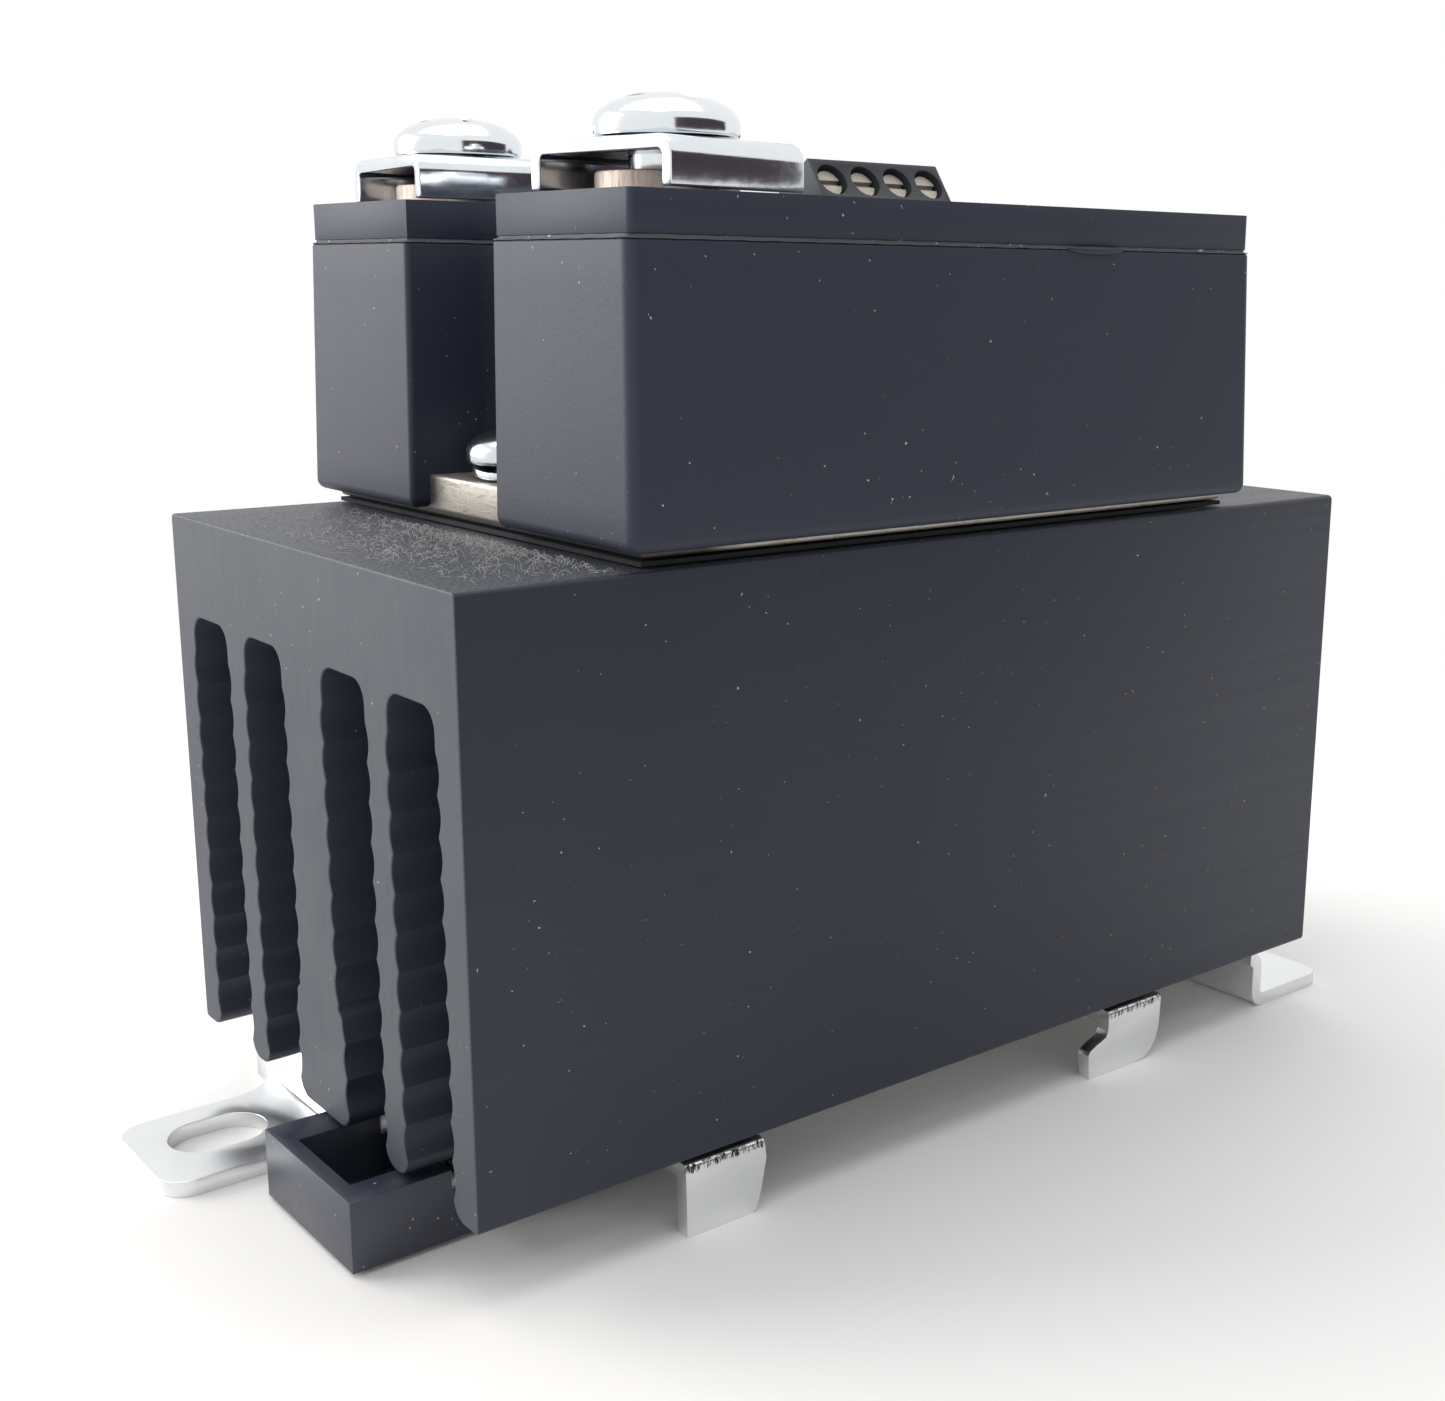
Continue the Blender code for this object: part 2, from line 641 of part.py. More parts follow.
def latch_guides():
    """Two straps bent down from the plate, with lips that carry the slider."""
    bottom, top = guide_lip_levels()
    guides = []
    for side, inward in ((LATCH_Y[0] - CLEARANCE, 1), (LATCH_Y[1] + CLEARANCE, -1)):
        outer = side - inward * SHEET
        inner = side + inward * GUIDE_LIP
        outline = [(outer, 0.0), (outer, bottom), (inner, bottom), (inner, top), (side, top),
                   (side, 0.0)]
        guides.append(prism(outline, "X", *GUIDE_X))
    return guides


def din_bracket():
    """Sheet steel bracket under the fins; its plate stays in from the long sides."""
    low = PLATE_SIDE_INSET
    high = SINK_WIDTH - PLATE_SIDE_INSET
    plate_start = NEAR_WALL + SHEET + BEND_INNER
    plate_end = FAR_WALL - SHEET - BEND_INNER
    body = box(plate_start, plate_end, low, high, -SHEET, 0.0)
    body = fused(body, near_end(), far_end(), spring_tab(), *side_hooks(), *latch_guides())
    for x in BRACKET_SCREW_X:
        body = cut(body, moved(bracket_screw_body(CLEARANCE), x, MIDDLE_Y))
    moved(body, z=-CLEARANCE)
    add_piece("din_bracket", body, ZINC)
    for end, x in zip(("near", "far"), BRACKET_SCREW_X):
        add_piece("bracket_screw_" + end, bracket_screw_body(0.0), ZINC,
                  at=(x, MIDDLE_Y, -CLEARANCE))


# ---------------------------------------------------------------- rail latch

def latch_outline():
    """Slider seen along Y: tall front, lower back under the plate, nose under the rail."""
    shoulder = NEAR_WALL - CLEARANCE
    under_plate = -SHEET - 2 * CLEARANCE
    rail_face = RAIL_START - CLEARANCE
    nose = RAIL_START + LATCH_NOSE_REACH
    return [(LATCH_FRONT, -LATCH_TOP), (LATCH_FRONT, -LATCH_BOTTOM), (nose - 1.3, -LATCH_BOTTOM),
            (nose, -LATCH_BOTTOM + 1.3), (nose, -LATCH_NOSE_TOP - 0.8),
            (rail_face, -LATCH_NOSE_TOP),
            (rail_face, under_plate), (shoulder, under_plate), (shoulder, -LATCH_TOP)]


def din_latch():
    """Plastic slider with a pocket for a screwdriver and a trough for its spring."""
    body = prism(latch_outline(), "Y", *LATCH_Y)
    trough_start = LATCH_FRONT + LATCH_FRONT_WALL
    trough = box(trough_start, LATCH_TROUGH_END, *LATCH_TROUGH_Y,
                 -LATCH_BOTTOM + LATCH_FLOOR, 1.0)
    body = cut(body, trough)
    bottom, top = guide_lip_levels()
    reach = GUIDE_LIP + CLEARANCE
    for y0, y1 in ((LATCH_Y[0] - 1.0, LATCH_Y[0] - CLEARANCE + reach),
                   (LATCH_Y[1] + CLEARANCE - reach, LATCH_Y[1] + 1.0)):
        groove = box(GROOVE_START, RAIL_START + 5.0, y0, y1,
                     bottom - CLEARANCE, top + CLEARANCE)
        body = cut(body, moved(groove, z=-CLEARANCE))
    add_piece("din_latch", body, GLOSS_PLASTIC)


def spring_point(turn, start, pitch, radius):
    """A point of the spring's wire: a helix about the X axis."""
    angle = 2 * math.pi * turn
    return Vector((start + pitch * turn, radius * math.cos(angle), radius * math.sin(angle)))


def latch_spring():
    """Coil spring from the bracket's tab to the end of the slider's trough."""
    start = NEAR_WALL + SHEET + CLEARANCE + SPRING_WIRE / 2
    end = LATCH_TROUGH_END - CLEARANCE - SPRING_WIRE / 2
    pitch = (end - start) / SPRING_TURNS
    radius = (SPRING_OUTER - SPRING_WIRE) / 2
    print("latch spring: gap between turns", round(pitch - SPRING_WIRE, 2), "mm")
    count = SPRING_TURNS * SPRING_STEPS
    rings = []
    for i in range(count + 1):
        turn = i / SPRING_STEPS
        angle = 2 * math.pi * turn
        centre = spring_point(turn, start, pitch, radius)
        outward = Vector((0.0, math.cos(angle), math.sin(angle)))
        along = Vector((1.0, 0.0, 0.0))
        ring = []
        for k in range(6):
            around = 2 * math.pi * k / 6
            offset = outward * math.cos(around) + along * math.sin(around)
            ring.append(centre + offset * SPRING_WIRE / 2)
        rings.append(ring)
    floor = -LATCH_BOTTOM + LATCH_FLOOR
    level = floor + CLEARANCE + SPRING_OUTER / 2
    add_piece("latch_spring", solid(rings), ZINC, at=(0.0, latch_middle(), level))


# ---------------------------------------------------------------- relay casing

def notch_points(notch, grow):
    """Open notch in an end at X = 0, from its +Y corner to its -Y corner."""
    width, depth, corner = notch
    half = width / 2 + grow
    end = depth + grow
    radius = corner + grow
    points = [(0.0, half)]
    points += arc(end - radius, half - radius, radius, 90, 0, 7)
    points += arc(end - radius, radius - half, radius, 0, -90, 7)
    return points + [(0.0, -half)]


def module_outline(inset_x, inset_y, notch_grow, corner=MODULE_CORNER):
    """The relay's outline from above, drawn in by an inset, with its two notches."""
    half = MODULE_WIDTH / 2 - inset_y
    near = inset_x
    far = MODULE_LENGTH - inset_x
    points = arc(near + corner, -half + corner, corner, 180, 270, 3)
    points += arc(far - corner, -half + corner, corner, -90, 0, 3)
    far_notch = [(MODULE_LENGTH - x, -y) for x, y in notch_points(FAR_NOTCH, notch_grow)]
    points += [(far, far_notch[0][1])] + far_notch[1:-1] + [(far, far_notch[-1][1])]
    points += arc(far - corner, half - corner, corner, 0, 90, 3)
    points += arc(near + corner, half - corner, corner, 90, 180, 3)
    near_notch = notch_points(NEAR_NOTCH, notch_grow)
    points += [(near, near_notch[0][1])] + near_notch[1:-1] + [(near, near_notch[-1][1])]
    return [(x + MODULE_START, y + MIDDLE_Y) for x, y in points]


def plate_box(grow):
    """Corners of the base plate, grown on all sides."""
    start = MODULE_START + PLATE_END_INSET - grow
    end = MODULE_END - PLATE_END_INSET + grow
    half = PLATE_WIDTH / 2 + grow
    return start, end, MIDDLE_Y - half, MIDDLE_Y + half


def relay_housing():
    """Moulded box, drafted, open above for the cover and below for the base plate."""
    low = module_outline(-HOUSING_DRAFT_X, -HOUSING_DRAFT_Y, 0.0)
    high = module_outline(0.0, 0.0, 0.0)
    bottom = MODULE_Z + HOUSING_BOTTOM
    top = MODULE_Z + HOUSING_TOP
    body = solid([place_points(low, "Z", bottom), place_points(high, "Z", top)])
    cavity = prism(module_outline(HOUSING_WALL, HOUSING_WALL, NOTCH_WALL, 0.6), "Z",
                   bottom - 1.0, top + 1.0)
    recess = box(*plate_box(CLEARANCE), bottom - 1.0, PLATE_TOP + CLEARANCE)
    add_piece("relay_housing", cut(body, cavity, recess), BLACK_PLASTIC)


def plug_window():
    """X and Y ranges of the opening that the control plug's stem goes through."""
    x0, x1 = plug_stem_x()
    y0, y1 = PLUG_STEM_Y
    return x0 - CLEARANCE, x1 + CLEARANCE, y0 - CLEARANCE, y1 + CLEARANCE


def top_cover():
    """Flat lid with holes for the two posts and a window for the plug."""
    outline = module_outline(COVER_INSET, COVER_INSET, COVER_INSET, 0.5)
    body = prism(outline, "Z", COVER_Z, COVER_TOP)
    for side in ("right", "left"):
        x, y = terminal_centre(side)
        body = cut(body, moved(rod(POST_DIAMETER + 2 * CLEARANCE, COVER_Z - 1, COVER_TOP + 1,
                                   ROUND_STEPS), x, y))
    body = cut(body, box(*plug_window(), COVER_Z - 1.0, COVER_TOP + 1.0))
    add_piece("top_cover", body, BLACK_PLASTIC)


def base_plate():
    """Metal plate under the chips, with a hole for each mounting screw."""
    body = box(*plate_box(0.0), PLATE_Z, PLATE_TOP)
    for x, y in mount_centres():
        body = cut(body, moved(rod(MOUNT_SCREW + 2 * CLEARANCE, PLATE_Z - 1, PLATE_TOP + 1), x, y))
    add_piece("base_plate", body, BARE_METAL)


def thermal_pad():
    """Thin pad between base plate and heat sink."""
    x0, x1, y0, y1 = plate_box(0.0)
    z0 = MODULE_Z + THIN_CLEARANCE
    z1 = z0 + PAD_THICKNESS
    body = box(x0, x1, y0, y1, z0, z1)
    for x, y in mount_centres():
        body = cut(body, moved(rod(MOUNT_SCREW + 2 * CLEARANCE, z0 - 1, z1 + 1), x, y))
    add_piece("thermal_pad", body, GREY_PAD)


def pan_head(diameter, height, steps=ROUND_STEPS):
    """(radius, height) points of a domed screw head that stands on Z = 0."""
    radius = diameter / 2
    wall = height * 0.42
    dome = []
    for i in range(1, 5):
        angle = math.radians(90 * i / 5)
        dome.append((radius * math.cos(angle), wall + (height - wall) * math.sin(angle)))
    return [(radius, 0.12), (radius, wall)] + dome


def screw(head_diameter, head_height, shank, reach):
    """Pan head screw: head above Z = 0, shank below."""
    profile = [(0, -reach), (shank / 2, -reach), (shank / 2, 0.0), (head_diameter / 2 - 0.15, 0.0)]
    profile += pan_head(head_diameter, head_height)
    profile += [(0, head_height)]
    return turned(profile)


def mounting_screws():
    """The two screws that hold the relay on the heat sink, and their spring washers."""
    washer_z = PLATE_TOP + THIN_CLEARANCE
    head_z = washer_z + WASHER_THICKNESS + THIN_CLEARANCE
    reach = head_z - (SINK_HEIGHT - MOUNT_SCREW_REACH)
    for end, (x, y) in zip(("near", "far"), mount_centres()):
        body = screw(MOUNT_HEAD, MOUNT_HEAD_HEIGHT, MOUNT_SCREW, reach)
        groove = box(-MOUNT_HEAD, MOUNT_HEAD, -DRIVER_SLOT / 2, DRIVER_SLOT / 2,
                     MOUNT_HEAD_HEIGHT * 0.5, MOUNT_HEAD_HEIGHT + 1.0)
        add_piece("mounting_screw_" + end, cut(body, groove), ZINC, at=(x, y, head_z))
        ring = rod(WASHER_OUTER, washer_z, washer_z + WASHER_THICKNESS, ROUND_STEPS)
        bore = rod(MOUNT_SCREW + 2 * THIN_CLEARANCE, washer_z - 1, washer_z + 2, ROUND_STEPS)
        add_piece("lock_washer_" + end, cut(ring, bore), ZINC, at=(x, y, 0.0))


# ---------------------------------------------------------------- power terminals

def terminal_centre(side):
    """X and Y of a power terminal; the right one is on the near long side."""
    offset = TERMINAL_SPACING / 2 * (-1 if side == "right" else 1)
    return MODULE_START + TERMINAL_FROM_END, MIDDLE_Y + offset


def post_top():
    """Z of the posts' upper face."""
    return COVER_TOP + POST_RISE


def clamp_levels():
    """Z of the clamp's feet, of its sheet's underside and of its top."""
    foot = COVER_TOP + CLAMP_LEG_GAP
    under = post_top() + CLAMP_OVER_POST
    return foot, under, under + CLAMP_SHEET


def clamp_profile():
    """Clamp seen along its channel: a sheet with both sides bent down."""
    foot, under, top = (z - clamp_levels()[2] for z in clamp_levels())
    half = CLAMP_WIDTH / 2
    bend = CLAMP_BEND
    inner = bend - CLAMP_SHEET
    outline = [(half, foot)]
    outline += arc(half - bend, top - bend, bend, 0, 90, 4)
    outline += arc(-half + bend, top - bend, bend, 90, 180, 4)
    outline += [(-half, foot), (-half + CLAMP_SHEET, foot)]
    outline += arc(-half + bend, top - bend, inner, 180, 90, 3)
    outline += arc(half - bend, top - bend, inner, 90, 0, 3)
    outline += [(half - CLAMP_SHEET, foot)]
    return outline


def power_terminal(side):
    """Post, clamp and screw of one power terminal."""
    x, y = terminal_centre(side)
    top = post_top()
    post = rod(POST_DIAMETER, top - POST_HEIGHT, top, ROUND_STEPS)
    bore = rod(TERMINAL_SCREW + 2 * CLEARANCE, top - POST_HEIGHT - 1, top + 1)
    add_piece("terminal_post_" + side, cut(post, bore), TAN_PLATE, at=(x, y, 0.0))

    turn = Matrix.Rotation(math.radians(CLAMP_SKEW[side]), 4, "Z")
    half = CLAMP_LENGTH / 2
    clamp = prism(clamp_profile(), "X", -half, half)
    clamp = cut(clamp, rod(TERMINAL_SCREW + 2 * CLEARANCE, -CLAMP_SHEET - 1, 1.0))
    clamp_top = clamp_levels()[2]
    add_piece("terminal_clamp_" + side, clamp, ZINC, at=(x, y, clamp_top), turn=turn)

    body = screw(TERMINAL_HEAD, TERMINAL_HEAD_HEIGHT, TERMINAL_SCREW, TERMINAL_SCREW_LENGTH)
    half_width = TERMINAL_RECESS_WIDTH / 2
    half_length = TERMINAL_RECESS_LENGTH / 2
    floor = TERMINAL_HEAD_HEIGHT - TERMINAL_RECESS_DEPTH
    slot = box(-TERMINAL_HEAD, TERMINAL_HEAD, -half_width, half_width, floor, RECESS_CUT_TOP)
    cross = box(-half_width, half_width, -half_length, half_length, floor, RECESS_CUT_TOP)
    body = cut(body, slot, cross)
    add_piece("terminal_screw_" + side, body, ZINC, at=(x, y, clamp_top + CLAMP_LEG_GAP), turn=turn)


# ---------------------------------------------------------------- inside the housing

def busbar_profile():
    """Conductor seen along Y: pad under the post, leg down, foot on the substrate."""
    x = MODULE_START + TERMINAL_FROM_END
    pad_top = post_top() - POST_HEIGHT - CLEARANCE
    pad_start = x - POST_DIAMETER / 2
    leg = x + BUSBAR_LEG_FROM_POST
    foot = substrate_top() + CLEARANCE
    sheet = BUSBAR_SHEET
    return [(pad_start, pad_top), (pad_start, pad_top - sheet), (leg, pad_top - sheet),
            (leg, foot), (leg + BUSBAR_FOOT, foot), (leg + BUSBAR_FOOT, foot + sheet),
            (leg + sheet, foot + sheet), (leg + sheet, pad_top)]


def busbar_y(side):
    """Y range of a busbar."""
    middle = terminal_centre(side)[1]
    return middle - BUSBAR_WIDTH / 2, middle + BUSBAR_WIDTH / 2


def busbar(side):
    """Copper conductor from a post to the substrate, with a hole under the screw."""
    x, y = terminal_centre(side)
    body = prism(busbar_profile(), "Y", *busbar_y(side))
    pad_top = post_top() - POST_HEIGHT - CLEARANCE
    hole = rod(TERMINAL_SCREW + 2 * CLEARANCE, pad_top - 3, pad_top + 1)
    add_piece("busbar_" + side, cut(body, moved(hole, x, y)), COPPER)


def substrate_top():
    """Z of the substrate's upper face."""
    return PLATE_TOP + CLEARANCE + SUBSTRATE_SIZE[2]


def substrate_and_chips():
    """Ceramic carrier on the base plate, with the two power chips on it."""
    length, width, thickness = SUBSTRATE_SIZE
    start = MODULE_START + SUBSTRATE_START
    body = box(start, start + length, MIDDLE_Y - width / 2, MIDDLE_Y + width / 2,
               substrate_top() - thickness, substrate_top())
    add_piece("ceramic_substrate", body, CERAMIC)
    chip_x = start + CHIP_FROM_SUBSTRATE_START
    for side, direction in (("right", -1), ("left", 1)):
        middle = MIDDLE_Y + direction * CHIP_SPACING / 2
        chip = box(chip_x, chip_x + CHIP_SIZE[0], middle - CHIP_SIZE[1] / 2,
                   middle + CHIP_SIZE[1] / 2, substrate_top() + THIN_CLEARANCE,
                   substrate_top() + THIN_CLEARANCE + CHIP_SIZE[2])
        add_piece("power_chip_" + side, chip, SILICON)


def lead_centres():
    """X and Y of the leads between the substrate and the board."""
    return [(MODULE_START + x, MIDDLE_Y + side * LEAD_SPACING / 2)
            for x in LEAD_X for side in (-1, 1)]


def board_bottom():
    """Z of the board's lower face."""
    return MODULE_Z + BOARD_HEIGHT


def gate_leads():
    """Collared rods that carry the gate signals and hold the board up."""
    low = substrate_top() + CLEARANCE
    high = board_bottom() + BOARD_THICKNESS + 0.8
    collar = board_bottom() - CLEARANCE
    radius = LEAD_DIAMETER / 2
    profile = [(0, low), (radius, low), (radius, collar - 0.7), (LEAD_COLLAR / 2, collar - 0.7),
               (LEAD_COLLAR / 2, collar), (radius, collar), (radius, high), (0, high)]
    for number, (x, y) in enumerate(lead_centres(), start=1):
        add_piece("gate_lead_%d" % number, turned(profile, 12), COPPER, at=(x, y, 0.0))


def potting_compound():
    """Soft fill that covers the chips, poured round the busbars and the leads."""
    inset = HOUSING_WALL + CLEARANCE
    outline = module_outline(inset, inset, NOTCH_WALL + CLEARANCE, 0.6)
    bottom = substrate_top() + THIN_CLEARANCE + CHIP_SIZE[2] + CLEARANCE
    top = bottom + POTTING_THICKNESS
    body = prism(outline, "Z", bottom, top)
    leg = MODULE_START + TERMINAL_FROM_END + BUSBAR_LEG_FROM_POST
    foot_top = substrate_top() + CLEARANCE + BUSBAR_SHEET
    for side in ("right", "left"):
        y0, y1 = busbar_y(side)
        body = cut(body, box(leg - CLEARANCE, leg + BUSBAR_SHEET + CLEARANCE, y0 - CLEARANCE,
                             y1 + CLEARANCE, bottom - 1.0, top + 1.0))
        body = cut(body, box(leg - CLEARANCE, leg + BUSBAR_FOOT + CLEARANCE, y0 - CLEARANCE,
                             y1 + CLEARANCE, bottom - 1.0, foot_top + CLEARANCE))
    for x, y in lead_centres():
        hole = rod(LEAD_DIAMETER + 2 * CLEARANCE, bottom - 1.0, top + 1.0, 8)
        body = cut(body, moved(hole, x, y))
    add_piece("potting_compound", body, FILL)


def circuit_board():
    """Board on the leads, with a tab under the last pole of the header."""
    x0 = MODULE_START + BOARD_START
    x1 = x0 + BOARD_LENGTH
    y0 = MIDDLE_Y - MODULE_WIDTH / 2 + BOARD_SIDE_INSET
    y1 = MIDDLE_Y + MODULE_WIDTH / 2 - BOARD_SIDE_INSET
    bottom = board_bottom()
    outline = [(x0, y0), (x1, y0), (x1, PIN_Y - 1.4), (x1 + BOARD_TAB, PIN_Y - 0.6),
               (x1 + BOARD_TAB, y1), (x0, y1)]
    body = prism(outline, "Z", bottom, bottom + BOARD_THICKNESS)
    for x, y in lead_centres():
        hole = rod(LEAD_DIAMETER + 2 * CLEARANCE, bottom - 1, bottom + BOARD_THICKNESS + 1, 8)
        body = cut(body, moved(hole, x, y))
    for x in pole_centres():
        half = PIN_SIZE / 2 + CLEARANCE
        body = cut(body, box(x - half, x + half, PIN_Y - half, PIN_Y + half,
                             bottom - 1, bottom + BOARD_THICKNESS + 1))
    add_piece("circuit_board", body, BOARD_GREEN)


def board_parts():
    """Components on the board: optocoupler, control chip, capacitor and resistors."""
    z = board_bottom() + BOARD_THICKNESS + THIN_CLEARANCE
    x0 = MODULE_START + BOARD_START
    y0 = MIDDLE_Y - MODULE_WIDTH / 2 + BOARD_SIDE_INSET

    def on_board(name, part, look, along=0.0):
        x, y, length, width, height = part
        x += x0 + along
        y += y0
        add_piece(name, box(x, x + length, y, y + width, z, z + height), look)

    on_board("optocoupler", OPTOCOUPLER, PART_BLACK)
    on_board("control_chip", CONTROL_CHIP, PART_BLACK)
    on_board("film_capacitor", FILM_CAPACITOR, FILM_YELLOW)
    for i in range(RESISTOR_COUNT):
        on_board("board_resistor_%d" % (i + 1), RESISTOR, RESISTOR_BLUE, RESISTOR_PITCH * i)


# ---------------------------------------------------------------- control plug

def pole_centres():
    """X of each pole of the control plug."""
    return [MODULE_START + FIRST_POLE + POLE_PITCH * i for i in range(POLE_COUNT)]


def plug_x():
    """X range of the plug's block."""
    poles = pole_centres()
    return poles[0] - PLUG_END_WALL, poles[-1] + PLUG_END_WALL


def plug_stem_x():
    """X range of the plug's stem, which goes through the cover."""
    x0, x1 = plug_x()
    return x0 + PLUG_STEM_INSET, x1 - PLUG_STEM_INSET


def pole_frame(x):
    """Matrix from a pole's own U, V, W to the heat sink's frame; its origin is on the ridge."""
    tilt = math.radians(PLUG_TILT)
    u = Vector((-1.0, 0.0, 0.0))
    v = Vector((0.0, math.cos(tilt), -math.sin(tilt)))
    w = Vector((0.0, -math.sin(tilt), -math.cos(tilt)))
    origin = Vector((x, PLUG_RIDGE_Y, MODULE_Z + PLUG_RIDGE_Z))
    return Matrix((
        (u.x, v.x, w.x, origin.x),
        (u.y, v.y, w.y, origin.y),
        (u.z, v.z, w.z, origin.z),
        (0.0, 0.0, 0.0, 1.0)))


def in_pole(bm, x):
    """Carry a body made in a pole's own frame to its place."""
    oriented(bm, pole_frame(x))
    bmesh.ops.recalc_face_normals(bm, faces=bm.faces)
    return bm


def turned_along_v(profile):
    """A body turned about V, at the screw's W, from (radius, V) points."""
    body = turned(profile, SMALL_ROUND_STEPS)
    oriented(body, Matrix.Rotation(math.radians(-90), 4, "X"))
    return moved(body, z=POLE_W)


def rod_along_v(diameter, v0, v1):
    """Cylinder along V, at the screw's W."""
    radius = diameter / 2
    return turned_along_v([(0, v0), (radius, v0), (radius, v1), (0, v1)])


def plug_block_profile():
    """Tilted block of the plug, seen along X, cut off flat just above the cover."""
    tilt = math.radians(PLUG_TILT)
    z = MODULE_Z + PLUG_RIDGE_Z
    base = COVER_TOP + CLEARANCE
    drop = z - base
    back = (PLUG_RIDGE_Y + drop * math.cos(tilt) / math.sin(tilt), base)
    front = (PLUG_RIDGE_Y - drop * math.sin(tilt) / math.cos(tilt), base)
    return [front, back, (PLUG_RIDGE_Y, z)]


def plug_stem_profile():
    """Stem of the plug, seen along X; its top lies inside the tilted block."""
    y0, y1 = PLUG_STEM_Y
    bottom = MODULE_Z + PLUG_STEM_BOTTOM
    base = COVER_TOP + CLEARANCE
    top = base + PLUG_STEM_OVERLAP
    return [(y0, bottom), (y1, bottom), (y1, base - CLEARANCE), (y1 - PLUG_STEM_CHAMFER, top),
            (y0, top)]


def contact_profile(grow):
    """Contact seen along X: bar through the cage, then a leg down beside the pin."""
    frame = pole_frame(0.0)
    low = BAR_V - grow
    high = BAR_V + BAR_SHEET + grow
    leg_far = PIN_Y - PIN_SIZE / 2 - CLEARANCE + grow
    leg_near = leg_far - BAR_SHEET - 2 * grow
    bottom = MODULE_Z + PLUG_STEM_BOTTOM + CLEARANCE - 3 * grow

    def along(v, w):
        point = frame @ Vector((0.0, v, w))
        return point.y, point.z

    def meeting(v, y):
        start = along(v, 0.0)
        end = along(v, 1.0)
        share = (y - start[0]) / (end[0] - start[0])
        return y, start[1] + share * (end[1] - start[1])

    first = CAGE_W[0]
    return [along(low, first), along(high, first), meeting(high, leg_far), (leg_far, bottom),
            (leg_near, bottom), meeting(low, leg_near)]


def plug_contact(number, x):
    """Bar in each cage that the wire is pressed on, with a leg down beside the pin."""
    half = BAR_WIDTH / 2
    body = prism(contact_profile(0.0), "X", x - half, x + half)
    add_piece("plug_contact_%d" % number, body, COPPER)


def plug_cavities(x):
    """Everything that is hollow in the plug at one pole, as one closed body."""
    pocket_start = CAGE_V[0] - CAGE_TRAVEL - CLEARANCE
    half = CAGE_WIDTH / 2 + CLEARANCE
    floor = POLE_HEAD_V[1] + CLEARANCE
    wide = POLE_HOLE / 2
    narrow = POLE_SHANK / 2 + CLEARANCE
    hole = turned_along_v([(0, -1.0), (wide, -1.0), (wide, floor), (narrow, floor),
                           (narrow, pocket_start + 0.5), (0, pocket_start + 0.5)])
    pocket = in_pole(box(-half, half, pocket_start, CAGE_V[1] + CLEARANCE,
                         CAGE_W[0] - CLEARANCE, CAGE_W[1] + CLEARANCE), x)
    wire = in_pole(box(-WIRE_HOLE / 2, WIRE_HOLE / 2, BAR_V + BAR_SHEET, CAGE_V[1] - CAGE_SHEET,
                       -1.0, CAGE_W[1]), x)
    width = BAR_WIDTH / 2 + CLEARANCE
    channel = prism(contact_profile(CLEARANCE), "X", x - width, x + width)
    width += 0.1
    well = box(x - width, x + width, PIN_Y - PIN_SIZE / 2 - 2 * CLEARANCE,
               PIN_Y + PIN_SIZE / 2 + CLEARANCE, MODULE_Z + PLUG_STEM_BOTTOM - 1.0,
               MODULE_Z + PIN_TOP + 2 * CLEARANCE)
    return fused(pocket, in_pole(hole, x), wire, channel, well)


def control_plug():
    """Plug body: tilted screw block above the cover, stem down into the header."""
    body = prism(plug_block_profile(), "X", *plug_x())
    body = fused(body, prism(plug_stem_profile(), "X", *plug_stem_x()))
    for x in pole_centres():
        body = cut(body, plug_cavities(x))
    add_piece("control_plug", body, BLACK_PLASTIC)


def control_screws_and_cages():
    """For each pole its clamping screw, turned about V, and the cage that rises along it."""
    for number, x in enumerate(pole_centres(), start=1):
        frame = pole_frame(x)
        head = rod_along_v(POLE_HEAD, *POLE_HEAD_V)
        slot = box(-POLE_HEAD, POLE_HEAD, POLE_HEAD_V[0] - 1.0, POLE_HEAD_V[0] + 0.4,
                   POLE_W - 0.25, POLE_W + 0.25)
        body = fused(head, rod_along_v(POLE_SHANK, POLE_HEAD_V[0] + 0.5, POLE_SHANK_END))
        body = cut(body, slot)
        moved(body, z=-POLE_W)
        on_axis = Matrix.Translation((0.0, 0.0, POLE_W))
        add_turned_piece("control_screw_%d" % number, body, ZINC, frame @ on_axis)

        half = CAGE_WIDTH / 2
        cage = box(-half, half, *CAGE_V, *CAGE_W)
        window = box(-half + CAGE_SHEET / 2, half - CAGE_SHEET / 2, CAGE_V[0] + CAGE_SHEET,
                     CAGE_V[1] - CAGE_SHEET, CAGE_W[0] - 1.0, CAGE_W[1] + 1.0)
        hole = rod_along_v(POLE_SHANK + 2 * THIN_CLEARANCE, CAGE_V[0] - 1.0,
                           CAGE_V[0] + CAGE_SHEET + 0.2)
        cage = cut(cage, window, hole)
        moved(cage, z=-POLE_W)
        add_turned_piece("wire_cage_%d" % number, cage, ZINC, frame @ on_axis)


def add_turned_piece(name, bm, look, frame):
    """Make a piece whose body was built in a frame of its own, given in millimetres."""
    turn = frame.to_3x3().to_4x4()
    add_piece(name, bm, look, at=frame.translation, turn=turn)


